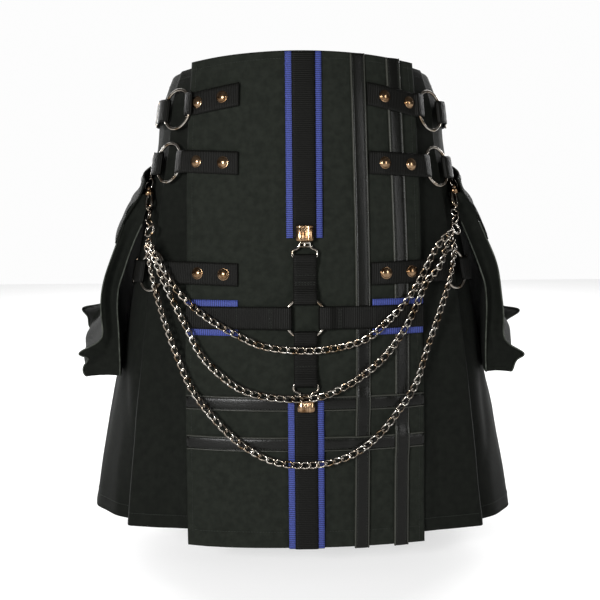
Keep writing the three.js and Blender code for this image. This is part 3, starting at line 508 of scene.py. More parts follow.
denim = twill("denim twill", 1.0)
# painted shade: the sides and pockets take the cloth at half tone, for the light that falls off round
# them
shaded_side_denim = twill("denim twill painted shade", 0.5)

thread, shader = new_material("thread", (0.02, 0.023, 0.019), 0.7, 0.2)
mottled(thread, shader, (0.008, 0.0095, 0.0075), (0.018, 0.021, 0.017), 300.0)

# painted highlight: the pockets' seam ridges are coloured far paler than the cloth, for the light caught
# along them
seam_highlight, shader = new_material("seam painted highlight", SEAM_HIGHLIGHT_TONE, 0.8, 0.12)
mottled(seam_highlight, shader, (0.02, 0.023, 0.018), SEAM_HIGHLIGHT_TONE, SLOW_DRIFT)

webbing, shader = new_material("webbing", (0.0105, 0.0102, 0.0095), 0.55, 0.09)
ramp = mottled(webbing, shader, (0.001, 0.001, 0.0008), (0.0044, 0.0044, 0.0036), FINE_SPECKLE)
woven_bump(webbing, shader, 2.3, math.radians(90), 0.6, 0.0006, fuzz=0.5, ramp=ramp)

ribbon, shader = new_material("blue ribbon", (0.03, 0.04, 0.27), 0.6, 0.15)
ramp = mottled(ribbon, shader, (0.011, 0.016, 0.062), (0.042, 0.058, 0.235), FINE_SPECKLE)
woven_bump(ribbon, shader, 2.4, math.radians(90), 0.5, 0.0005, fuzz=0.5, ramp=ramp)

leather, shader = new_material("leather", (0.005, 0.0048, 0.0042), 0.26, 0.15)
# the paler cords are partly rubbed wear and partly a painted highlight along each cord
cord_wear_and_highlight(leather, shader, (0.0035, 0.0036, 0.003), (0.03, 0.031, 0.026))
place = node(leather, "ShaderNodeTexCoord")
grain = node(leather, "ShaderNodeTexVoronoi", Scale=900.0)
creasing = node(leather, "ShaderNodeTexNoise", Scale=110.0, Detail=3.0)
both = node(leather, "ShaderNodeMath", operation="MULTIPLY_ADD")
both.inputs[1].default_value = 2.2
bump = node(leather, "ShaderNodeBump", Strength=0.22, Distance=0.0005)
link(leather, place, "Object", grain, "Vector")
link(leather, place, "Object", creasing, "Vector")
link(leather, creasing, "Fac", both, 0)
link(leather, grain, "Distance", both, 2)
link(leather, both, "Value", bump, "Height")
link(leather, bump, "Normal", shader, "Normal")

# painted reflection: the dark warm-brown tone mottled into the nickel stands in for dark brown
# surroundings that it reflects
nickel, shader = new_material("nickel plate", (0.45, 0.4, 0.34), 0.12, metallic=1.0)
mottled(nickel, shader, (0.11, 0.07, 0.035), (0.42, 0.4, 0.365), 90.0)

# painted reflection: rivets, barrels and clasp waists are coloured dark red-brown for the dark
# surroundings they reflect
rivet_metal, shader = new_material("rivet plate painted reflection", (0.3, 0.2, 0.12), 0.18, metallic=1.0)
mottled(rivet_metal, shader, (0.09, 0.045, 0.018), (0.3, 0.2, 0.12), 110.0)

# the solids of the frame get the same finishes, by the first word of their names
FINISHES = {
    "apron": denim, "under": denim, "pleats": denim, "pocket": denim,
    "webbing": webbing, "strap": webbing, "leather": leather, "ribbon": ribbon,
}
for name, obj in nodes.items():
    obj.data.materials.clear()
    obj.data.materials.append(FINISHES.get(name.split("_")[0], nickel))
print("materials:", len(bpy.data.materials))

# %% [markdown]
# ## Apron and under apron
# The apron is one flat panel, cut with a turned hem and turned side edges, each held by a row of
# stitches. On the body it bulges forward in the middle and its corners stand back. It is laid
# out as a grid over its own width and length and pushed out by its relief: slow unevenness,
# pulls beside the straps' ends, a doubled hem. The under apron lies behind it and is plainer.

# %% Apron
APRON_FOLDS = [
    (-30, 280, -75, 262, 9, 0.9),
    (-24, 330, -70, 372, 12, -1.0),
    (-40, 300, -128, 292, 8, 0.8),
    (24, 232, 62, 196, 11, 0.8),
    (-22, 210, -66, 170, 12, -0.8),
    (-136, 90, -92, 118, 10, 0.7),
    (-120, 180, -60, 215, 14, 0.8),
    (30, 370, 62, 398, 10, 0.8),
    (-100, 372, -40, 396, 12, -0.9),
    (92, 300, 104, 372, 7, 0.7),
    (-128, 520, -60, 548, 18, 0.9),
    (20, 560, 60, 530, 14, 0.8),
    (84, 100, 104, 120, 8, 0.6),
    (-148, 560, -116, 600, 14, 1.2),
]


def step_up(value, start, width):
    """0 below start, 1 above start + width, with a soft shoulder between."""
    t = np.clip((value - start) / width, 0, 1)
    return t * t * (3 - 2 * t)


def apron_relief(x, drop):
    """Height of the apron's cloth over its form: slow waves, placed folds, doubled hem and
    edges. It stays small under the trim, which lies flat on the cloth."""
    half = read_rows(APRON, 1, drop)
    hem = 0.5 * step_up(drop, APRON_DROP - 22, 2)
    pucker = 0.14 * np.sin(2 * math.pi * x / 7.3 + 2 * waves(x, drop, 60, 3)) * hem
    edge = 0.28 * step_up(np.abs(x), half - 9, 2)
    wave = 1.0 * waves(x, drop, 230, 11) + 0.22 * waves(x, drop, 80, 12)
    loose = 0.55 * step_up(drop, 520, 90) * np.sin(2 * math.pi * x / 148 + 0.7)
    return hem + pucker + edge + wave + loose + 1.15 * folds(x, drop, APRON_FOLDS, 21) - 1.5


def apron_sheet(name, half_share, gap, rows, columns, top_extra, bottom, relief):
    """The apron's grid: across -1..1 of its half width, and down from a bowed top edge."""
    level, across = np.meshgrid(np.linspace(0, 1, rows), np.linspace(-1, 1, columns), indexing="ij")
    top = top_extra + 7.5 * across ** 2 + 1.2 * across
    drop = top + (bottom - top) * level
    x = across * half_share(drop)
    points = apron_point(x, drop, relief(x, drop) - gap(drop))
    uv = np.stack([x, -drop], -1)
    quads = grid_quads(rows, columns)[:, ::-1]
    return make_mesh(name, points, quads, denim, uv)


apron = apron_sheet("apron_cloth", lambda d: read_rows(APRON, 1, d), lambda d: 0 * d,
                    230, 110, 0, APRON_DROP, apron_relief)
thicken(apron, CLOTH)
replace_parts(apron, "apron")
under_apron = apron_sheet("under_apron_cloth", lambda d: UNDER_APRON_HALF + 0 * d,
                          lambda d: 3.6 + 7.8 * d / APRON_DROP, 90, 50, 4, 604,
                          lambda x, d: 0.5 * waves(x, d, 190, 31))
thicken(under_apron, CLOTH)
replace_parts(under_apron, "under_apron")
print("apron:", len(apron.data.polygons), "faces")

# %% [markdown]
# ## Pleated sides and back
# Knife pleats are folds that all lie one way, pressed from the waist and free at the hem. Each
# level of the skirt is one flat line: it runs out to a fold, turns under, and goes on to the
# next. The line is the solid's own, drawn with rounded folds, and its free parts swing a little
# more the lower they hang. One grid takes the whole side from beside the apron to the back.


# %% Pleats
def body_ring(drop):
    """Half an oval of the body from front middle to back middle: (total length, at)."""
    width, middle, depth, square = (read_rows(BODY, k, np.array(drop)) for k in (1, 2, 3, 4))
    turn = np.linspace(-math.pi / 2, math.pi / 2, 321)
    x = width * np.maximum(np.cos(turn), 0) ** (2 / square)
    y = middle + depth * np.sign(np.sin(turn)) * np.abs(np.sin(turn)) ** (2 / square)
    ring = np.stack([x, y], -1)
    lengths = lengths_along(ring)
    side = -path_normals(ring)

    def at(along, out):
        along = np.clip(along, 0, lengths[-1])
        lean = read_between(along, lengths, side)
        return read_between(along, lengths, ring) + lean * np.asarray(out, float)[..., None]

    return lengths[-1], at


def side_normals(line):
    """The outward side of a line that runs from front to back."""
    way = np.gradient(line, axis=0)
    way /= np.maximum(np.linalg.norm(way, axis=1, keepdims=True), 1e-6)
    return np.stack([way[:, 1], -way[:, 0]], -1)


# how far each side's edge passes the middle of the back, so that no light shows between them
BACK_SEAM_LAP = 0.25


def pleat_corners(drop):
    """The corners of one side's pleats at a level: out to each fold, under it, and on."""
    total, at = body_ring(drop)
    rise_share = read_one(PLEAT_OPENING, 1, drop)
    under_share = read_one(PLEAT_OPENING, 2, drop)
    share = min(max(drop / APRON_DROP, 0), 1)
    gap = 3.2 + 7.8 * share
    start = apron_point(UNDER_APRON_HALF + 1.2, drop, -gap - CLOTH / 2)[:2]
    places = [total * (w + (h - w) * share) for w, h, _, _ in PLEATS]
    rises = [rise * rise_share for _, _, rise, _ in PLEATS]
    unders = [under * under_share for _, _, _, under in PLEATS]
    first = at(places[0], rises[0])
    corners = [start + (first - start) * t for t in (0, 0.35, 0.7)]
    for k, (place, rise, under) in enumerate(zip(places, rises, unders)):
        last = k == len(PLEATS) - 1
        next_place = total - 0.3 if last else places[k + 1]
        next_rise = 0 if last else rises[k + 1]
        corners += [at(place, rise), at(place, 0.55 * rise)]
        corners += [at(place - under, -0.55 * rise), at(place - under, -rise)]
        for t in (0.35, 0.68):
            along = place - under + (next_place - place + under) * t
            corners.append(at(along, -rise + (next_rise + rise) * t))
    corners.append(np.array([-BACK_SEAM_LAP, at(total, 0)[1]]))
    return np.array(corners)


# how many grid columns each stretch of the line gets: the front panel, then per pleat
STRETCHES = [16, 16, 12] + [3, 8, 3, 9, 9, 9] * 6
PLEAT_COLUMNS = sum(STRETCHES) + 1


def pleat_line(drop):
    """The line with its stretches split evenly and its folds rounded."""
    at = np.concatenate([[0], np.cumsum(STRETCHES)])
    return rounded(read_between(np.arange(PLEAT_COLUMNS), at, pleat_corners(drop)), 3)


PLEAT_FOLDS = [
    (20, 120, 34, 420, 7, 1.6),
    (60, 260, 52, 590, 10, -1.8),
    (36, 380, 30, 598, 9, 1.5),
    (10, 150, 40, 190, 8, 0.9),
    (12, 300, 44, 322, 8, 0.9),
    (120, 360, 128, 598, 12, 1.8),
    (190, 330, 184, 598, 12, -1.8),
    (260, 380, 262, 598, 13, 1.8),
    (330, 330, 326, 598, 12, -1.8),
    (410, 380, 408, 598, 13, 1.8),
    (90, 90, 140, 120, 10, 0.9),
    (300, 110, 360, 130, 12, 0.9),
]


PLEAT_ROWS = 110
PLEAT_START = 14.0
# where on the way round the waist edge dips lowest
HIP_SHARE = 0.35
# how much shorter the cloth hangs towards the apron, and how much fuller a side stands
HEM_RISE = {-1: 12.0, 1: 4.0}
FULLNESS = {-1: 1.6, 1: 2.4}


def pleat_panel(side_name, side):
    """One side: rows from the waist to the hem, each a pleat line moved by its relief."""
    level = np.linspace(0, 1, PLEAT_ROWS)
    lines = np.stack([pleat_line(PLEAT_START + (PLEAT_DROP - PLEAT_START) * t) for t in level])
    normals = np.stack([side_normals(line) for line in lines])
    steps = np.linalg.norm(np.diff(lines, axis=1), axis=2)
    along = np.concatenate([np.zeros((PLEAT_ROWS, 1)), np.cumsum(steps, axis=1)], 1)
    round_share = np.linspace(0, 1, PLEAT_COLUMNS)[None, :] * np.ones((PLEAT_ROWS, 1))
    top = np.interp(round_share, [0, HIP_SHARE, 1], [9, 18, 16])
    raised = HEM_RISE[side] * (1 - step_up(round_share, 0.4, 0.4))
    drop = top + (PLEAT_DROP - raised - top) * level[:, None]
    free = step_up(drop, 160, 440)
    seed = 41 if side > 0 else 47
    wobble = 2.0 * free * waves(along, drop * 0.45, 130, seed)
    relief = wobble + 0.35 * waves(along, drop, 90, seed + 1)
    relief += folds(along * (1 if side > 0 else 1.04), drop, PLEAT_FOLDS, seed + 2) * (0.4 + 0.6 * free)
    relief += 0.5 * step_up(drop, PLEAT_DROP - 22, 2)
    relief += FULLNESS[side] * step_up(drop, 60, 200)
    calm = step_up(along, 0, 14) * step_up(along[:, -1:] - along, 0, 10)
    lines = lines + normals * (relief * calm)[..., None]
    droop = 1.5 * free * waves(along, 0 * along, 220, seed + 3)
    height = TOP_EDGE - drop + droop * level[:, None] - 1
    points = np.stack([side * lines[..., 0], lines[..., 1], height], -1)
    quads = grid_quads(PLEAT_ROWS, PLEAT_COLUMNS)
    if side > 0:
        quads = quads[:, ::-1]
    uv = np.stack([along * side, -drop], -1)
    panel = make_mesh(f"pleats_{side_name}_cloth", points, quads, shaded_side_denim, uv)
    thicken(panel, CLOTH, offset=0.0)
    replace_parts(panel, f"pleats_{side_name}")
    return panel, points, normals


pleats = {}
for side_name, side in SIDES.items():
    pleats[side_name] = pleat_panel(side_name, side)
print("pleats:", len(pleats["left"][0].data.polygons), "faces a side")

# %% [markdown]
# ## Leather strips
# Each strip is folded over a soft core and stitched down along both edges, which raises two
# cords of leather with a padded middle between them. The section says all of that at once, so
# the strips are bands of that section. They cross by stepping over each other, as plain weave.

# %% Leather strips
LEATHER_WIDTH = 18.6
LEATHER = 1.8
SEAM_GAP = 0.3
LAY_GAP = 0.6


def leather_section():
    """Half round cords along both edges and a padded middle: the top, then the flat underside."""
    half = np.concatenate([[0, 0.2, 0.4, 0.55, 0.64, 0.68, 0.72], np.linspace(0.75, 0.95, 9), [1]])
    x = np.concatenate([-half[:0:-1], half])
    cord = np.sqrt(np.clip(1 - ((np.abs(x) - 0.85) / 0.11) ** 2, 0, 1))
    pad = np.clip(1 - (x / 0.7) ** 4, 0, 1) ** 0.5
    top = 0.45 + np.maximum(1.35 * cord, 0.85 * pad)
    top[[0, -1]] = 0.4
    x = x * LEATHER_WIDTH / 2
    return np.concatenate([np.stack([x, top], -1), np.stack([x, 0 * top], -1)[::-1]])


def stepped_line(start, end, base, crossings):
    """A line that lies at base and steps up by each crossing's pass over what it crosses."""
    line = [(start, base)]
    for at, half, rise in crossings:
        line += [(at - half - 7, base), (at - half, base + rise)]
        line += [(at + half, base + rise), (at + half + 7, base)]
    return line + [(end, base)]


PASS = LEATHER + SEAM_GAP
WIDE = LEATHER_WIDTH / 2 + 1
STRIP_LAY = LAY_GAP - 0.4
for name, start in (("inner", 3), ("outer", 6)):
    crossed = CROSSBARS[PASSES_OVER[name]]
    line = even_path(stepped_line(start, APRON_DROP + 1.5, STRIP_LAY, [(crossed, WIDE, PASS)]), 3.0)
    line[:, 1] += 0.12 * waves(line[:, 0], 0 * line[:, 0], 60, len(name))
    middle = UPRIGHTS[name]
    strip = band(f"leather_upright_{name}_strip", line, leather_section(),
                 lambda along, across, height: apron_point(
                     across + read_rows(middle, 1, along), along, height), leather)
    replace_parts(strip, f"leather_upright_{name}")
for name, drop in CROSSBARS.items():
    crossed = read_one(UPRIGHTS[PASSES_OVER[name]], 1, drop)
    line = even_path(stepped_line(-148.5, 148.5, STRIP_LAY, [(crossed, WIDE, PASS)]), 3.0)
    strip = band(name + "_strip", line, leather_section(),
                 lambda along, across, height: apron_point(along, drop + across, height),
                 leather)
    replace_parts(strip, name)
print("leather strips: 2 upright,", len(CROSSBARS), "across")

# %% [markdown]
# ## Webbing and ribbon down the middle
# Blue ribbon is laid first, the narrower black webbing is sewn over it, and a stripe of blue is
# left on either side. The lower length goes over both leather strips, so its line steps twice.

# %% Middle webbing
RIBBON_WIDTH = 44.0
RIBBON = 0.8
WEB_WIDTH = 28.5
WEB = 1.6


def down_apron(along, across, height):
    return apron_point(across, along, height)


UPPER_END, LOWER_START = 227, 426
ribbon_section = flat_section(RIBBON_WIDTH, RIBBON, 16)
web_section = flat_section(WEB_WIDTH, WEB)
crossings = [(drop, WIDE + 0.5, PASS) for drop in CROSSBARS.values()]
over_bars = stepped_line(LOWER_START, APRON_DROP + 0.5, LAY_GAP, crossings)
lengths = {
    "upper": [(1.5, LAY_GAP), (UPPER_END, LAY_GAP)],
    "lower": [(LOWER_START, LAY_GAP + PASS)] + over_bars[3:],
}
for name, line in lengths.items():
    line = even_path(line, 3.0)
    line[:, 1] += 0.1 * waves(line[:, 0], 0 * line[:, 0], 45, 5)
    blue = band(f"ribbon_{name}_band", line + [0, RIBBON / 2], ribbon_section,
                down_apron, ribbon)
    black = band(f"webbing_{name}_band", line + [0, RIBBON + SEAM_GAP + WEB / 2],
                 web_section, down_apron, webbing)
    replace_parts(blue, f"ribbon_{name}")
    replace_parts(black, f"webbing_{name}")
print("middle webbing: 2 lengths")

# %% [markdown]
# ## Harness
# Four straps loop on one ring and fold back under themselves. Each strap is a single length of
# webbing, so its path goes up over the wire, round it and back, and the band follows that path.

# %% Harness straps and ring
HARNESS_DROP = 324.5
RING_RADIUS = 24.8
RING_WIRE = 2.0
WIRE_HEIGHT = LAY_GAP + WEB + 0.5 + RING_WIRE
UPPER_BAR, LOWER_BAR = 250.0, 405.5
BAND_OUTER, BAND_INNER = 147.0, 82.0
LOW = LAY_GAP + WEB / 2


def looped_end(wire, inner, toward):
    """The end of a strap: up over a wire, round it and back underneath."""
    over = WIRE_HEIGHT + RING_WIRE + 0.6 + WEB / 2
    return [
        (wire + toward * 13, LOW + 2.3), (wire + toward * 5.5, over - 0.6), (wire, over),
        (inner + toward * 2, over - 0.7), (inner, (over + LOW) / 2 + 1), (inner + toward * 0.4, LOW + 1),
        (inner + toward * 2.4, LOW), (wire + toward * 9, LOW),
    ]


ring_end = looped_end(RING_RADIUS, RING_RADIUS - 8.4, 1)
harness_lines = []
for name, way, end in (("strap_up", -1, UPPER_BAR), ("strap_down", 1, LOWER_BAR)):
    bar = way * (end - HARNESS_DROP)
    line = looped_end(bar, bar + 3.4, -1)[::-1] + [((RING_RADIUS + bar) / 2, LOW)] + ring_end

    def down_strap(along, across, height, way=way):
        return apron_point(across, HARNESS_DROP + way * along, height)

    strap = band(name + "_band", even_path(line, 1.3), web_section, down_strap, webbing)
    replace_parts(strap, name)
    harness_lines.append((name, line, down_strap))
for side_name, way in SIDES.items():
    base = LAY_GAP + LEATHER + LAY_GAP if way > 0 else LAY_GAP
    top = base + RIBBON + 1.5 * SEAM_GAP + WEB / 2
    ramp = 60 if way > 0 else BAND_INNER - 1

    def across_apron(along, across, height, way=way):
        return apron_point(way * along, HARNESS_DROP + across, height)

    line = [(BAND_OUTER - 0.5, top), (ramp, top), (ramp - 9, LOW)] + ring_end
    strap = band(f"strap_{side_name}_band", even_path(line, 1.3), web_section, across_apron,
                 webbing)
    under = even_path([(BAND_INNER, base + RIBBON / 2), (BAND_OUTER, base + RIBBON / 2)], 3)
    blue = band(f"ribbon_{side_name}_band", under, ribbon_section, across_apron, ribbon)
    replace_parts(strap, f"strap_{side_name}")
    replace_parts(blue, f"ribbon_{side_name}")
    harness_lines.append((side_name, line, across_apron))


def round_ring(name, centre, normal, radius, wire):
    """A closed wire ring: centre + radius (cos t right + sin t up)."""
    right, up, _ = frame_of(normal)
    turn = np.linspace(0, 2 * math.pi, 72, endpoint=False)[:, None]
    path = centre + radius * (np.cos(turn) * right + np.sin(turn) * up)
    return tube(name, path, wire, nickel, closed=True, sides=14)


centre = apron_point(0.0, HARNESS_DROP, WIRE_HEIGHT)
ring = round_ring("ring_middle_metal", centre, apron_normal(0.0, HARNESS_DROP), RING_RADIUS, RING_WIRE)
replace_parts(ring, "ring_middle")
print("harness: 4 straps, 2 ribbons, 1 ring")

# %% [markdown]
# ## Clips
# A pressed barrel is crimped on the webbing's end. From its neck comes a flat wire frame that
# widens to the strap's width, with a short post in the middle, and the strap loops over the bar.

# %% Clips
# the bar that its strap loops over, the barrel's two ends, its height
CLIPS = {
    "clip_upper": (UPPER_BAR, 211.5, 231.0, 3.6),
    "clip_lower": (LOWER_BAR, 424.5, 439.0, 5.8),
}
# the barrel's half width, and where its upright grooves lie across it
BARREL = 10.85
GROOVES_AT = (-4.4, -0.6, 3.4)
for name, (bar, start, end, base) in CLIPS.items():
    way = 1 if bar > start else -1
    near = end if way > 0 else start
    middle = (start + end) / 2
    _, up, out = frame_of(apron_normal(0.0, middle))
    centre = apron_point(0.0, middle, base + 4.25)
    half = (end - start) / 2
    profile = [(0.01, -half), (8.6, -half), (10.4, -half + 0.7), (BARREL, -half + 2),
               (BARREL, half - 3.6), (10.3, half - 3.1), (10.3, half - 2.5), (BARREL, half - 2),
               (10.4, half - 0.6), (8.6, half), (0.01, half)]
    barrel = turned(name + "_barrel", profile, centre, up, rivet_metal, 120,
                    squash=(1.0, 0.392), hint=out, grooves=[math.acos(x / BARREL) for x in GROOVES_AT])

    def on_clip(points):
        return np.array([apron_point(x, near + way * y, WIRE_HEIGHT + h) for x, y, h in points])

    leg = [(5.5, -2, 0), (6.2, 4, 0), (7, 7.4, 0), (9.4, 9.4, 0), (13.4, 10.2, 0), (15, 12.2, 0),
           (15, 18.2, 0), (14, 19, 0)]
    bail = [(-x, y, h) for x, y, h in leg] + leg[::-1]
    wires = [
        ("wire", bail, 1.1, 3, 1.45),
        ("neck", [(-6.5, 1.6, 0), (6.5, 1.6, 0)], 2, 2, 2.0),
        ("post", [(0, 0, 0), (0, 6.6, 0.4)], 1.5, 2, 1.5),
        ("bridge", [(-9.5, 6.2, 0), (9.5, 6.2, 0)], 2, 2, 1.2),
    ]
    bent = [tube(f"{name}_{part}", even_path(on_clip(route), step, passes), radius, nickel)
            for part, route, step, passes, radius in wires]
    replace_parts(join(name + "_metal", [barrel] + bent), name)
print("clips: 2")

# %% [markdown]
# ## Strap rows
# On each side three straps come from under the pleats, pass a ring, and the front part is held
# on the apron by two dome rivets. The line of a strap is drawn on one level of the garment and
# carried up and down by the webbing's width, leaning out with the flare of the cloth below it.
# In the photograph the rings do not hang quite alike, so a short table moves the upper four.

# %% Strap rows
# row, inner end, its drop, the ring's x, its drop, the rivets' x
ROWS = [
    (1, 77.6, 51.5, 165, 64.5, (98, 129.5)),
    (2, 79.6, 135.5, 174.5, 133, (98, 131.5)),
    (3, 81.6, 271.5, 193.5, 268.5, (99, 131.5)),
]
# how far above its ring's middle a row's front strap ends
STRAP_LIFTS = {1: 5.0}
# how far the ring of a side and row hangs from its place in the table: across and down
RING_SHIFTS = {
    ("left", 1): (-7.5, 0.0),
    ("left", 2): (-5.0, -2.0),
    ("right", 1): (-2.5, 3.0),
    ("right", 2): (-3.5, 5.0),
}


def flare(rows, column, drop):
    """How fast a table's column grows downwards."""
    return (read_one(rows, column, drop + 12) - read_one(rows, column, drop - 12)) / 24


def ring_place(ring_x, drop):
    """Where a row's ring hangs beside the apron: the length round the body to its middle, how
    far that stands off the body and how far the folds under it do."""
    total, at = body_ring(drop)
    folds_out = read_one(PLEAT_OPENING, 1, drop) * PLEATS[0][2] + CLOTH / 2
    stand = folds_out + LAY_GAP + WEB + SEAM_GAP + RING_WIRE + 0.6
    tries = np.arange(0, total, 0.25)
    along = tries[np.argmax(at(tries, np.full_like(tries, stand))[:, 0] >= ring_x)]
    return total, at, along, stand, folds_out


def ring_loop(middle, out, way, side):
    """The end of a strap in the level plane: over a ring's wire, round it and back."""
    wire = middle + way * side * RING_RADIUS
    reach = RING_WIRE + 0.9 + WEB / 2
    inner = RING_WIRE + 6.6
    steps = [(7, reach - 0.4), (0, reach), (2 - inner, reach - 0.6), (-inner, 0.9), (-inner, -0.9),
             (2 - inner, 0.6 - reach), (0, -reach), (2.5, -reach)]
    return [wire + way * side * a + out * b for a, b in steps]


def oval_way(x, y, drop):
    """The level direction straight out of the body's oval near a point."""
    drop = np.array(float(drop))
    width, middle, depth = (read_rows(BODY, k, drop) for k in (1, 2, 3))
    way = np.stack([x / width ** 2, (y - middle) / depth ** 2], -1)
    return unit(way)


def rivet_profile():
    """A dome with a thin rolled rim."""
    turn = np.linspace(0, math.pi / 2, 9)
    dome = [(6.6 * math.cos(t), 0.9 + 3.3 * math.sin(t)) for t in turn]
    return [(0.01, 0), (7.1, 0), (7.5, 0.35), (7.45, 0.8), (7.0, 1.0)] + dome[:-1] + [(0.01, 4.2)]


def strap_row(row, inner, inner_drop, ring_x, ring_drop, rivets, side_name, side):
    """One row on one side: front strap, ring, rear strap, slide and two rivets."""
    across_shift, down_shift = RING_SHIFTS.get((side_name, row), (0, 0))
    ring_x, ring_drop = ring_x + across_shift, ring_drop + down_shift
    total, at, along, stand, folds_out = ring_place(ring_x, ring_drop)
    middle = at(along, stand)
    out = unit(at(along, stand + 1) - middle)
    way = np.array([-out[1], out[0]])

    def drop_at(x):
        stops = [inner, ring_x - RING_RADIUS, ring_x - 4, ring_x + 4]
        end_drop = ring_drop - STRAP_LIFTS.get(row, 0)
        return np.interp(x, stops, [inner_drop, end_drop, end_drop, ring_drop])

    low = LAY_GAP + SEAM_GAP + WEB / 2
    lift = low + LEATHER + LAY_GAP if side > 0 else low
    end = read_one(APRON, 1, inner_drop) - 5
    flat = even_path([(inner, low), (inner + 9, low), (inner + 16, lift), (end, lift)], 4)
    front = apron_point(flat[:, 0], drop_at(flat[:, 0]), flat[:, 1])[:, :2]
    front = np.concatenate([front, ring_loop(middle, out, way, -1)])
    start, stop = along + RING_RADIUS + 14, total * 0.6
    share = np.linspace(0.05, 1, 24)
    lay_off = folds_out + LAY_GAP + SEAM_GAP + WEB / 2
    rear = at(start + (stop - start) * share, stand + (lay_off - stand) * np.sqrt(share))
    rear = np.concatenate([ring_loop(middle, out, way, 1)[::-1], rear])
    apron_flare = flare(APRON, 2, inner_drop)
    body_flare = flare(BODY, 1, ring_drop)

    def lay(x, station, y):
        away = oval_way(x, y, ring_drop)
        lean = apron_flare + (body_flare - apron_flare) * np.clip((x - 120) / 40, 0, 1)
        lean = (lean * station)[..., None] * away
        height = TOP_EDGE - drop_at(x) - station
        return np.stack([side * (x + lean[..., 0]), y + lean[..., 1], height], -1)

    for kind, line in (("front", front), ("rear", rear)):
        strap = band(f"strap_{kind}_{side_name}_{row}_band", even_path(line, 1.6), web_section,
                     lay, webbing)
        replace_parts(strap, f"strap_{kind}_{side_name}_{row}")
    normal = np.array([side * out[0], out[1], body_flare])
    centre = np.array([side * middle[0], middle[1], TOP_EDGE - ring_drop])
    ring = round_ring(f"ring_{side_name}_{row}_metal", centre, normal, RING_RADIUS, RING_WIRE)
    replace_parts(ring, f"ring_{side_name}_{row}")
    for k, x in enumerate(rivets, 1):
        seat = lift + WEB / 2 + 0.15
        spot = apron_point(side * float(x), drop_at(x), seat)
        dome = turned(f"rivet_{side_name}_{row}_{k}_metal", rivet_profile(), spot,
                      apron_normal(side * float(x), drop_at(x)), rivet_metal, 32)
        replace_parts(dome, f"rivet_{side_name}_{row}_{k}")
    near, far = at(start + 14, stand - 1.5), at(start + 22, stand - 1.7)
    slider(f"slider_{side_name}_{row}", lay, near, far)


def slider(name, lay, near, far):
    """A flat wire slide round the rear strap, just behind the ring."""
    half = WEB_WIDTH / 2 + 2
    corners = [(near, -half), (near, half), (far, half), (far, -half), (near, -half)]
    outline = np.array([[p[0], s, p[1]] for p, s in corners])
    path = even_path(outline, 1.5, 2)[:-1]
    points = lay(path[:, 0], path[:, 1], path[:, 2] - 0.4)
    tube(name, points, 1.1, nickel, closed=True, sides=10)


for side_name, side in SIDES.items():
    for values in ROWS:
        strap_row(*values, side_name, side)
print("strap rows:", len(ROWS), "a side")

# %% [markdown]
# ## Swivel clasps
# A swivel clasp has an eye that hangs below its strap, a waist that turns, and a hook with a
# sprung gate. A few links lead from the hook to a jump ring, which gathers the three chains. The
# parts are turned pieces and bent wires set along the line from the eye down to that ring, in a
# plane that faces the front and a little outwards.

# %% Clasps
HUB = np.array([194.0, -86.0, 217.0])
CLASP_WIRE = 1.5
EYE_RADIUS, HUB_RADIUS = 8.0, 7.5
for side_name, side in SIDES.items():
    _, _, _, ring_x, ring_drop, _ = ROWS[1]
    _, at, along, stand, _ = ring_place(ring_x, ring_drop)
    under = at(along + RING_RADIUS + 18, stand + 4.5)
    hang = ring_drop + WEB_WIDTH / 2 + EYE_RADIUS + CLASP_WIRE + SEAM_GAP
    top = np.array([side * under[0], under[1], TOP_EDGE - hang])
    hub = np.array([side * HUB[0], HUB[1], TOP_EDGE - HUB[2]])
    length = np.linalg.norm(top - hub)
    up = (top - hub) / length
    right, face_up, _ = frame_of(up, hint=(0.6 * side, -1, 0))
    plane = np.stack([right, up])

    def in_plane(points):
        return top + np.asarray(points, float) @ plane

    pieces = [round_ring(f"eye_{side_name}", top, face_up, EYE_RADIUS, CLASP_WIRE)]
    waist = [(0.01, 0), (3.9, 0), (4.8, 0.8), (4.8, 3.2), (3.4, 4.0), (3.4, 5.0), (5.6, 5.8), (6.2, 8.6),
             (4.6, 11.4), (0.01, 11.4)]
    pieces.append(turned(f"waist_{side_name}", waist, top - up * (EYE_RADIUS - 0.6), -up, rivet_metal,
                         24))
    low = -EYE_RADIUS - 10
    hook = [(0, low + 1), (4.2, low - 2.5), (5.6, low - 9), (5.0, low - 17), (1.6, low - 21.5),
            (-2.8, low - 20.5), (-5.0, low - 16), (-4.6, low - 12)]
    hook = even_path(in_plane(hook), 1.3, 3)
    swell = 1.9 + 0.7 * np.sin(np.linspace(0, math.pi, len(hook)))
    pieces.append(tube(f"hook_{side_name}", hook, swell, nickel))
    gate = even_path(in_plane([(-1.4, low + 0.5), (-4.4, low - 3), (-4.8, low - 13)]), 1.5, 2)
    pieces.append(tube(f"gate_{side_name}", gate, 1.5, nickel))
    first, last = low - 16.5, HUB_RADIUS - length + 0.5
    for k in range(3):
        centre = in_plane([(0.6, first + (last - first) * (k + 0.5) / 3)])[0]
        facing = face_up if k % 2 else right
        pieces.append(round_ring(f"link_{side_name}_{k}", centre, facing + 0.4 * right, 5.0, 1.2))
    pieces.append(round_ring(f"gather_{side_name}", hub, face_up, HUB_RADIUS, CLASP_WIRE))
    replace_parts(join(f"clasp_{side_name}_metal", pieces), f"clasp_{side_name}")
print("clasps:", len(SIDES))

# %% [markdown]
# ## Curb chains
# Every link of a curb chain is an oval twisted a little about its length, so that the links lie
# flat and each one's wire passes over its neighbour on one side and under it on the other. One
# link is worked out from a formula and laid along the chain's line at each pitch, facing out.

# %% Chains
LINK_PITCH = 10.4
LINK_WIRE = 1.25
LINK_HALF = (LINK_PITCH + 2 * LINK_WIRE) / 2
LINK_WIDE = 3.5
LINK_TWIST = 1.5
LINK_AROUND = 26
LINK_SIDES = 9
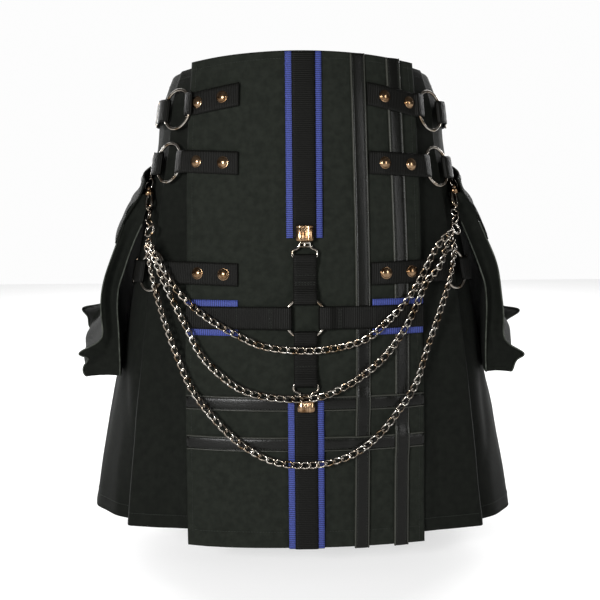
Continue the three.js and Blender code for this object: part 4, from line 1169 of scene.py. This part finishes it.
# how far a chain stands off the apron, where it leaves it, and how far back it then goes
CHAIN_STANDOFF = 9.5
CHAIN_LEAVES = 140.0
CHAIN_BACK = -102.0
# how far behind the others a chain is gathered, how far it rises over a clip, and its line:
# x, drop and, near the clasps, how far back it is drawn
CHAINS = {
    "chain_upper": (-12, 0, [
        (-194, 228, 12), (-181, 252), (-163, 283), (-143, 306), (-113, 327), (-79, 346), (-48, 359),
        (0, 364), (42, 360), (74, 350), (100, 329), (123, 305), (144, 279), (160, 248), (174, 229, 3),
        (187, 221, 11)]),
    "chain_middle": (-5.5, 9, [
        (-196, 232, 12), (-178, 272), (-162, 306), (-146, 337), (-127, 368), (-105, 392), (-76, 412),
        (-36, 421), (12, 420), (48, 408), (76, 390), (98, 370), (119, 342), (134, 314), (152, 283),
        (170, 262), (180, 235, 5), (189, 224, 11)]),
    "chain_lower": (-1.5, 0, [
        (-198, 236, 12), (-188, 282), (-176, 325), (-160, 370), (-138, 412), (-110, 449), (-78, 479),
        (-38, 500), (10, 504), (52, 494), (84, 473), (110, 444), (134, 409), (152, 367), (166, 330),
        (180, 290), (187, 262), (191, 233, 8)]),
}


def chain_points(points, stack, over_clip):
    """The chain's line in space: over the apron's trim, then back to the clasp at the side."""
    x = np.array([p[0] for p in points], float)
    drop = np.array([p[1] for p in points], float)
    gathered = np.array([p[2] if len(p) > 2 else 0 for p in points], float)
    reach = np.abs(x)
    out = CHAIN_STANDOFF + np.clip(1 - (reach / 45) ** 2, 0, 1) * over_clip
    on_apron = apron_point(x, drop, out)
    edge = apron_point(np.full_like(x, CHAIN_LEAVES), drop, out)[:, 1]
    t = (reach - CHAIN_LEAVES) / (HUB[0] - CHAIN_LEAVES)
    back = edge + (CHAIN_BACK - edge) * np.clip(t, 0, 1.1) ** 1.3 + gathered + stack * np.clip(t, 0, 1)
    hanging = np.stack([x, back, TOP_EDGE - drop], -1)
    return np.where((reach <= CHAIN_LEAVES)[:, None], on_apron, hanging)


def smooth_route(points, step):
    """A cubic Hermite curve through points, resampled at even steps."""
    points = np.asarray(points, float)
    slope = np.gradient(points, axis=0)
    t = np.linspace(0, 1, 24, endpoint=False)[:, None]
    pieces = []
    for a, b, m, n in zip(points[:-1], points[1:], slope[:-1], slope[1:]):
        pieces.append(a * (2 * t ** 3 - 3 * t ** 2 + 1) + m * (t ** 3 - 2 * t ** 2 + t)
                      + b * (3 * t ** 2 - 2 * t ** 3) + n * (t ** 3 - t ** 2))
    dense = np.concatenate(pieces + [points[-1:]])
    lengths = lengths_along(dense)
    count = int(round(lengths[-1] / step))
    return read_between((np.arange(count) + 0.5) * lengths[-1] / count, lengths, dense)


def link_shape():
    """One link: a (cos t) long, b (sin t) wide with flatter flanks, twisted by c sin 2t."""
    t = np.linspace(0, 2 * math.pi, LINK_AROUND, endpoint=False)
    oval = np.sign(np.sin(t)) * np.abs(np.sin(t)) ** 0.82
    path = np.stack([LINK_HALF * np.cos(t), LINK_WIDE * oval, LINK_TWIST * np.sin(2 * t)], -1)
    way = unit(np.roll(path, -1, axis=0) - np.roll(path, 1, axis=0))
    side = unit(np.cross(way, [0, 0, 1]))
    ring = circles(side, np.cross(side, way), LINK_SIDES)
    return (path[:, None] + LINK_WIRE * ring).reshape(-1, 3)


def chain(name, stack, over_clip, points):
    """One chain as one mesh of links, each facing out from an oval of the hips, 190 mm to each
    side and 150 mm to front and back, and leaning a little."""
    route = smooth_route(chain_points(points, stack, over_clip), LINK_PITCH)
    way = unit(np.gradient(route, axis=0))
    hips = [route[:, 0] / 190 ** 2, (route[:, 1] - 10) / 150 ** 2, 0 * route[:, 0]]
    lean = 0.3 * waves(np.arange(len(route)) * 40.0, np.zeros(len(route)), 300, len(name))
    side = unit(np.cross(unit(np.stack(hips, -1)), way))
    up = np.cross(way, side)
    side, up = (side * np.cos(lean)[:, None] + up * np.sin(lean)[:, None],
                up * np.cos(lean)[:, None] - side * np.sin(lean)[:, None])
    shape = link_shape()
    points = (route[:, None] + shape[None, :, :1] * way[:, None] + shape[None, :, 1:2] * side[:, None]
              + shape[None, :, 2:] * up[:, None])
    size = LINK_AROUND * LINK_SIDES
    one = facing_out(points[0], grid_quads(LINK_AROUND + 1, LINK_SIDES, closed=True) % size)
    quads = laid_again(one, len(route), size)
    made = make_mesh(name + "_links", points, quads, nickel)
    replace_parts(made, name)
    return len(route)


links = [chain(name, *values) for name, values in CHAINS.items()]
print("links:", links)

# %% [markdown]
# ## Cargo pockets
# A cargo pocket is a bag with side gussets, sewn from a back, a face and a strip between them.
# The seams are pinched into ridges that stand out most at the bottom corners, and the gusset
# folds in between. The bag is a stack of closed loops from the mouth to the bottom, and the
# flap is a curved sheet from the seam on the hip to its free edge over the mouth.

# %% Pockets
# drop, reach of the back, depth of the bag
POCKET = np.array([
    [203, 207.3, 22],
    [235, 221.3, 21],
    [271, 235.3, 20],
    [295, 242.3, 19],
    [345, 244.3, 24],
    [388, 246.3, 43],
    [403, 247.3, 37],
    [412, 248.3, 27],
], float)
FLAP = np.array([[150, 206.5], [168, 210], [186, 220.5], [204, 231.5], [231, 242.75]], float)
POCKET_FRONT, POCKET_WIDTH, POCKET_LIFT, POCKET_TOE = -45.0, 145.0, 42.0, 5.0
POCKET_TOP, POCKET_LOW, BAG_BOTTOM = 203, 412, 408.0
FLAP_TOP, FLAP_DROP, FLAP_PAST = 150, 81, 0.0276
SLACK = 15.0
FLAP_LIFT = 1.8
# the seams end in pinched ears: drop and height, at the front and at the rear
EARS = {-1: (372.0, 24.0, 378.0, 27.0), 1: (380.0, 17.0, 387.0, 27.0)}
# how much further out the bottom hangs on each side
BOTTOM_OUT = {-1: 7.0, 1: -3.0}


def down_flap(drop):
    """The share of the way down the flap, 0 at its seam and 1 at its free edge."""
    return np.clip((drop - FLAP_TOP) / FLAP_DROP, 0, 1)


def wrap_at(across, drop, low_wrap):
    """How far a pocket's rear half bends inwards round the hip."""
    low = np.clip((drop - POCKET_TOP) / (POCKET_LOW - POCKET_TOP), 0, 1)
    return (40 + (low_wrap - 40) * low) * (2 * np.maximum(across - 0.5, 0)) ** 2


def pocket_point(side, across, drop, reach):
    """A point of a pocket, which is hung on the hip with its rear end raised."""
    return np.stack([
        side * (reach + POCKET_TOE * across),
        POCKET_FRONT + POCKET_WIDTH * across,
        TOP_EDGE - drop + POCKET_LIFT * across,
    ], -1)


def body_reach(y, drop):
    """How far the body reaches sideways: w (1 - |(y - m) / d|^n)^(1/n)."""
    power = read_rows(BODY, 4, drop)
    share = np.abs(y - read_rows(BODY, 2, drop)) / read_rows(BODY, 3, drop)
    return read_rows(BODY, 1, drop) * np.maximum(1 - share ** power, 0) ** (1 / power)


# the loop of the bag: (across, share of the way from the back to the face)
LOOP = np.array([
    [1.0, 0], [0.87, 0], [0.75, 0], [0.62, 0], [0.5, 0], [0.25, 0], [0, 0],
    [0, 0.18], [0, 0.5], [0, 0.82], [0, 1],
    [0.12, 1], [0.25, 1], [0.37, 1], [0.5, 1], [0.62, 1], [0.75, 1], [0.87, 1], [1, 1],
    [1, 0.82], [1, 0.5], [1, 0.18],
])


def closed_spread(loop, extra):
    """A closed loop with each stretch split into equal parts."""
    closed = np.concatenate([loop, loop[:1]])
    return read_between(np.arange(0, len(loop), 1 / extra), np.arange(len(closed)), closed)


def pocket_seam(name, points, down, up):
    """The pinched seam of a pocket: a narrow ridge down one corner of the bag, along its bottom and
    up the next corner, stood out a little from the middle of each level, and coloured pale as a
    painted highlight along the ridge."""
    step = 1 if up > down else -1
    away = points - points.mean(1, keepdims=True)
    away[..., 2] = 0
    stood = points + 0.7 * unit(away)
    bottom = stood[-1, np.arange(down, up + step, step)]
    path = np.concatenate([stood[14:-1, down], bottom, stood[-2:13:-1, up]])
    tube(name, even_path(path, 2.5, 2), 0.95, seam_highlight, sides=8)


def pocket_bag(side_name, side):
    """The bag's rings. Seam corners stand out as ridges by a few millimetres, the gusset folds
    in between them, and both grow towards the bottom."""
    extra = 5
    loop = closed_spread(LOOP, extra)
    across, depth = loop.T
    drops = np.concatenate([np.linspace(170, 200, 12), np.linspace(POCKET_TOP, BAG_BOTTOM, 80)])[:, None]
    low = np.clip((drops - POCKET_TOP) / (POCKET_LOW - POCKET_TOP), 0, 1)
    raised = step_up(-drops, -POCKET_TOP, 33)
    rear = read_rows(POCKET, 1, drops) - wrap_at(across, drops, 20)
    bulge = 1 + 0.35 * low * across + 0.12 * np.sin(math.pi * across)
    face = read_rows(POCKET, 1, drops) - wrap_at(across, drops, 0)
    face = face + read_rows(POCKET, 2, drops) * bulge
    y = POCKET_FRONT + POCKET_WIDTH * across
    on_hip = body_reach(y, drops - POCKET_LIFT * across) + 4.5 - POCKET_TOE * across
    rear = rear + (on_hip - rear) * raised
    under_flap = flap_reach(across, drops) - 2.8
    face = face + (under_flap - face) * raised
    slack = SLACK * np.exp(-(((drops - 372) / 30) ** 2)) * np.clip(1.2 - across, 0, 1)
    stood_off = flap_reach(across, drops) + FLAP_LIFT * down_flap(drops) ** 3 - 3.2
    face = face + np.maximum(stood_off - face, 0) * (1 - step_up(drops, 221, 12)) * (1 - raised)
    slack = slack - BOTTOM_OUT[side] * step_up(drops, 380, 20)
    rear = rear - 5 * step_up(drops, 320, 80) * np.clip(1 - across, 0, 1)
    reach = rear + (face - slack - rear) * depth
    gusset = np.exp(-((np.minimum(across, 1 - across) / 0.02) ** 2))
    hollow = 2 + 9 * np.sin(math.pi * np.clip(low * 1.08, 0, 1))
    valley = np.sin(math.pi * depth) ** 1.5 * gusset * hollow
    ahead = np.where(across < 0.5, 1.0, -1.0)
    inward = ahead * valley / POCKET_WIDTH
    corner = np.exp(-(((depth - np.round(depth)) / 0.05) ** 2)) * gusset
    ridge = corner * (1.4 + 3.0 * np.clip((low - 0.45) / 0.45, 0, 1))
    front_drop, front_ear, rear_drop, rear_ear = EARS[side]
    peak = np.where(across < 0.5, front_drop, rear_drop)
    tip = np.where(across < 0.5, front_ear, rear_ear) * np.exp(-(((drops - peak) / 8) ** 2))
    ridge = ridge + corner * tip * (depth > 0.5)
    reach = reach + ridge * np.where(depth > 0.5, 1.0, 0.15)
    inward = inward - ahead * ridge * 0.5 / POCKET_WIDTH
    seed = 61 if side > 0 else 67
    soft = np.where(depth > 0.9, 1.0, 0.25) * (1 - gusset * 0.5)
    reach = reach + 1.7 * soft * waves(across * POCKET_WIDTH, drops, 75, seed)
    reach = reach + 0.9 * gusset * waves(drops, 0 * drops + depth * 40, 60, seed + 1)
    points = pocket_point(side, across + inward, drops + 0 * across, reach)
    columns = points.shape[1]
    face_first, face_last, back_first = 10 * extra, 18 * extra, 6 * extra
    pocket_seam(f"pocket_{side_name}_face_seam", points, face_first, face_last)
    pocket_seam(f"pocket_{side_name}_back_seam", points, back_first, 0)
    floor = points[-1].mean(0)
    shares = np.array([0.86, 0.6, 0.3, 0.04])[:, None, None]
    bottom = floor + (points[-1] - floor) * shares
    bottom[..., 2] -= np.array([1.2, 2.2, 2.8, 3.0])[:, None]
    points = np.concatenate([points, bottom])
    quads = grid_quads(len(points), columns, closed=True)
    quads = np.concatenate([quads, (len(points) - 1) * columns + ring_cap(columns)])
    if side > 0:
        quads = quads[:, ::-1]
    around = lengths_along(points[20])
    down = np.concatenate([drops[:, 0], BAG_BOTTOM + np.array([4, 10, 18, 26])])
    uv = np.stack(np.broadcast_arrays(around[None, :], -down[:, None]), -1)
    bag = make_mesh(f"pocket_{side_name}_bag", points, quads, shaded_side_denim, uv)
    thicken(bag, 1.4)
    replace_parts(bag, f"pocket_{side_name}")


def flap_reach(across, drop):
    """The flap's reach: sewn to the hip at its top, crowned in the middle, free over the bag."""
    crown = 3.4 * np.sin(math.pi * np.clip(across, 0, 1)) + 1.4 * np.clip(across, 0, 1)
    wrap = wrap_at(across, drop, 0)
    loose = 1 - down_flap(drop)
    y = POCKET_FRONT + POCKET_WIDTH * across
    on_body = body_reach(y, drop - POCKET_LIFT * across) + 10 + 10 * np.clip(1 - across, 0, 1) ** 2
    drawn = on_body - (206.5 + POCKET_TOE * across + crown - wrap)
    return read_rows(FLAP, 1, drop) + crown - wrap + drawn * loose ** 2


def flap_points(side, across, drop, lift=0.0):
    """The flap's sheet, moved out by lift."""
    return pocket_point(side, across, drop, flap_reach(across, drop) + lift)


def pocket_flap(side_name, side):
    """The flap: a sheet from its seam to its free edge, with a doubled rim."""
    rows, columns = 40, 70
    shares = np.linspace(-FLAP_PAST, 1 + FLAP_PAST, columns)
    t, across = np.meshgrid(np.linspace(0, 1, rows), shares, indexing="ij")
    seed = 71 if side > 0 else 77
    y = across * POCKET_WIDTH
    drop = FLAP_TOP + FLAP_DROP * t + 1.4 * t * waves(y, 0 * t, 120, seed)
    from_sides = np.minimum(across + FLAP_PAST, 1 + FLAP_PAST - across) * POCKET_WIDTH
    doubled = np.minimum(from_sides, (1 - t) * FLAP_DROP) < 7
    lift = 0.9 * t * waves(y, drop, 70, seed + 1) + 0.4 * doubled + FLAP_LIFT * t ** 3
    points = flap_points(side, across, drop, lift)
    quads = grid_quads(rows, columns)
    if side > 0:
        quads = quads[:, ::-1]
    uv = np.stack([y, -drop], -1)
    flap = make_mesh(f"pocket_flap_{side_name}_cloth", points, quads, shaded_side_denim, uv)
    thicken(flap, CLOTH, offset=0.0)
    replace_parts(flap, f"pocket_flap_{side_name}")
    return flap


for side_name, side in SIDES.items():
    pocket_bag(side_name, side)
    pocket_flap(side_name, side)
print("pockets: 2 bags, 2 flaps")

# %% [markdown]
# ## Stitches
# A lockstitch shows as short threads in a row, each sunk at its ends. One small thread body is
# laid again and again along a line on the cloth, a little longer than wide, with gaps between.


# %% Stitches
def stitch_row(path, normals, length=2.7, pitch=3.6, radius=0.32):
    """Points and faces of a row of stitches along a path that lies on the cloth."""
    lengths = lengths_along(path)
    at = np.arange(pitch / 2, lengths[-1], pitch)
    spot = read_between(at, lengths, path)
    way = unit(read_between(at, lengths, np.gradient(path, axis=0)))
    out = unit(read_between(at, lengths, normals))
    s = np.array([-0.5, -0.3, 0.3, 0.5]) * length
    r = np.array([0.35, 1.0, 1.0, 0.35]) * radius
    sink = np.array([-0.5, 0.25, 0.25, -0.5]) * radius
    ring = circles(np.cross(out, way), out, 6)[:, None]
    points = (spot[:, None, None] + s[None, :, None, None] * way[:, None, None]
              + sink[None, :, None, None] * out[:, None, None] + r[None, :, None, None] * ring)
    one = facing_out(points[0], close_ends(grid_quads(4, 6, closed=True), 4, 6))
    return points.reshape(-1, 3), laid_again(one, len(at), 4 * 6)


def sew(name, rows):
    """All rows of stitches of one piece as one mesh."""
    points, quads, shift = [], [], 0
    for path, normals in rows:
        p, q = stitch_row(path, normals)
        points.append(p)
        quads.append(q + shift)
        shift += len(p)
    return make_mesh(name, np.concatenate(points), np.concatenate(quads), thread)


# how far a leather strip's stitches lie from its middle line
STITCH_LINE = 5.9


def strip_height(along, crossed):
    """How high the groove of a leather strip lies, raised where it passes over another."""
    return LAY_GAP + 0.45 + PASS * step_up(-np.abs(along - crossed), -WIDE - 7, 7)


rows = []
for side in SIDES.values():
    drop = np.linspace(12, APRON_DROP - 4, 200)
    x = side * (read_rows(APRON, 1, drop) - 7)
    out = apron_relief(x, drop) + 0.1
    rows.append((apron_point(x, drop, out), apron_normal(x, drop)))
x = np.linspace(-140, 140, 200)
for drop in (APRON_DROP - 20 + 0 * x, 9 + 7.5 * (x / 140) ** 2):
    rows.append((apron_point(x, drop, apron_relief(x, drop) + 0.1), apron_normal(x, drop)))
apron_thread = sew("apron_stitches", rows)

rows = []
for name in ("inner", "outer"):
    for edge in (-STITCH_LINE, STITCH_LINE):
        drop = np.linspace(8, APRON_DROP - 2, 200)
        x = read_rows(UPRIGHTS[name], 1, drop) + edge
        over = strip_height(drop, CROSSBARS[PASSES_OVER[name]])
        rows.append((apron_point(x, drop, over), apron_normal(x, drop)))
for name, bar in CROSSBARS.items():
    for edge in (-STITCH_LINE, STITCH_LINE):
        x = np.linspace(-146, 146, 200)
        drop = bar + 0 * x
        over = strip_height(x, read_one(UPRIGHTS[PASSES_OVER[name]], 1, bar))
        rows.append((apron_point(x, drop + edge, over), apron_normal(x, drop)))
sew("leather_stitches", rows)


def on_pleats(side_name, row):
    """A line of stitches along one row of a side's grid, on its outer face."""
    _, points, normals = pleats[side_name]
    side = SIDES[side_name]
    out = np.stack([side * normals[row, :, 0], normals[row, :, 1], 0 * normals[row, :, 0]], -1)
    return points[row] + out * (CLOTH / 2 + 0.1), out


def strap_seam(line, along, place):
    """Stitches across a harness strap where its top layer reaches a place along its line."""
    path = even_path(line, 1.3)
    first = int(np.argmax(path[:, 0]))
    at = first + int(np.argmax(path[first:, 0] < along))
    across = np.linspace(-12, 12, 30)
    height = path[at, 1] + WEB / 2 + 0.05
    on_strap = place(along, across, height + 0 * across)
    return on_strap, place(along, across, height + 1 + 0 * across) - on_strap


rows = []
for name, line, place in harness_lines:
    # the third seam lies at the ribbon's inner end or below the clip
    third = line[0][0] - (63.0 if name in SIDES else 13.0)
    rows += [strap_seam(line, along, place) for along in (41.0, 43.5, third)]
sew("harness_stitches", rows)

for side_name in SIDES:
    at_rows = (PLEAT_ROWS - 4, 2)
    sew(f"pleats_{side_name}_stitches", [on_pleats(side_name, row) for row in at_rows])
for side_name, side in SIDES.items():
    rows = []
    t = np.linspace(0.02, 0.98, 80)
    high, low = FLAP_TOP + 5, FLAP_TOP + FLAP_DROP - 5
    down = FLAP_TOP + (low - FLAP_TOP) * t
    front = 0.045 - FLAP_PAST
    lines = [(front + 0 * t, down), (1 - front + 0 * t, down), (t, low + 0 * t), (t, high + 0 * t)]
    for across, drop in lines:
        stand = 0.6 + CLOTH / 2 + FLAP_LIFT * down_flap(drop) ** 3
        path = flap_points(side, across, drop, stand)
        out = flap_points(side, across, drop, 2.6) - flap_points(side, across, drop, 1.6)
        rows.append((path, out))
    sew(f"flap_{side_name}_stitches", rows)
print("stitches sewn")

# %% [markdown]
# ## Cloth

# %% Cloth
print("cloth: all sheets are made in the cells above")

# %% [markdown]
# ## Camera, light and floor
# The photograph looks at the middle of the front from about 1.3 m, slightly down. The world is
# bright only behind the kilt, which makes the white ground and leaves the dark cloth dark. A soft
# light at the front left and a weaker one at the right model the front, two more light the back,
# and a wide one lights the paper that the kilt stands before. The paper also glows by itself, so
# that it stays white up to its far edge.

# %% Camera, light and floor
camera_data = bpy.data.cameras.new("camera")
camera_data.lens = 56.43
camera_data.sensor_width = 36
camera_data.clip_start = 0.01
camera = bpy.data.objects.new("camera", camera_data)
bpy.context.collection.objects.link(camera)
camera.location = (-0.032, -1.284, -0.1811)
camera.rotation_euler = (math.radians(90 - 4.56), math.radians(0.45), math.radians(-1.33))
bpy.context.scene.camera = camera

world = bpy.data.worlds.new("studio")
world.use_nodes = True
background = world.node_tree.nodes["Background"]
background.inputs["Color"].default_value = (1, 1, 1, 1)
tree = world.node_tree
way = tree.nodes.new("ShaderNodeTexCoord")
split = tree.nodes.new("ShaderNodeSeparateXYZ")
fade = tree.nodes.new("ShaderNodeMapRange")
fade.interpolation_type = "SMOOTHSTEP"
for key, value in {"From Min": 0.3, "From Max": 0.9, "To Min": 0.15, "To Max": 0.98}.items():
    fade.inputs[key].default_value = value
tree.links.new(way.outputs["Generated"], split.inputs["Vector"])
tree.links.new(split.outputs["Y"], fade.inputs["Value"])
tree.links.new(fade.outputs["Result"], background.inputs["Strength"])
bpy.context.scene.world = world
bpy.context.scene.view_settings.view_transform = "Standard"


def soft_light(name, place, target, size, power):
    """A rectangle of light at a place, turned towards its target."""
    data = bpy.data.lights.new(name, "AREA")
    data.shape = "RECTANGLE"
    data.size, data.size_y = size
    data.energy = power
    light = bpy.data.objects.new(name, data)
    bpy.context.collection.objects.link(light)
    light.location = place
    way = Vector(target) - Vector(place)
    light.rotation_euler = way.to_track_quat("-Z", "Y").to_euler()


FLOOR_HEIGHT = -0.62
soft_light("key", (-0.75, -1.6, 0.0), (0, 0, -0.33), (0.4, 0.4), 36)
soft_light("fill", (1.3, -1.5, 0.1), (0, 0, -0.35), (0.4, 0.8), 9)
soft_light("back left", (-1.5, 1.5, 0.3), (0, 0, -0.3), (0.8, 0.8), 42)
soft_light("back right", (1.5, 1.5, 0.3), (0, 0, -0.3), (0.8, 0.8), 42)
soft_light("paper", (0, 3.4, 1.6), (0, 3.4, FLOOR_HEIGHT), (4.0, 3.0), 90)

floor_mesh = bpy.data.meshes.new("floor")
corners = [(x, y, FLOOR_HEIGHT) for x, y in ((-6, -6), (6, -6), (6, 6), (-6, 6))]
floor_mesh.from_pydata(corners, [], [(0, 1, 2, 3)])
floor = bpy.data.objects.new("floor", floor_mesh)
bpy.context.collection.objects.link(floor)
paper, shader = new_material("lit paper", (0.42, 0.42, 0.42), 0.9)
shader.inputs["Emission Color"].default_value = (1, 1, 1, 1)
shader.inputs["Emission Strength"].default_value = 0.62
floor.data.materials.append(paper)
print("camera at", tuple(camera.location))
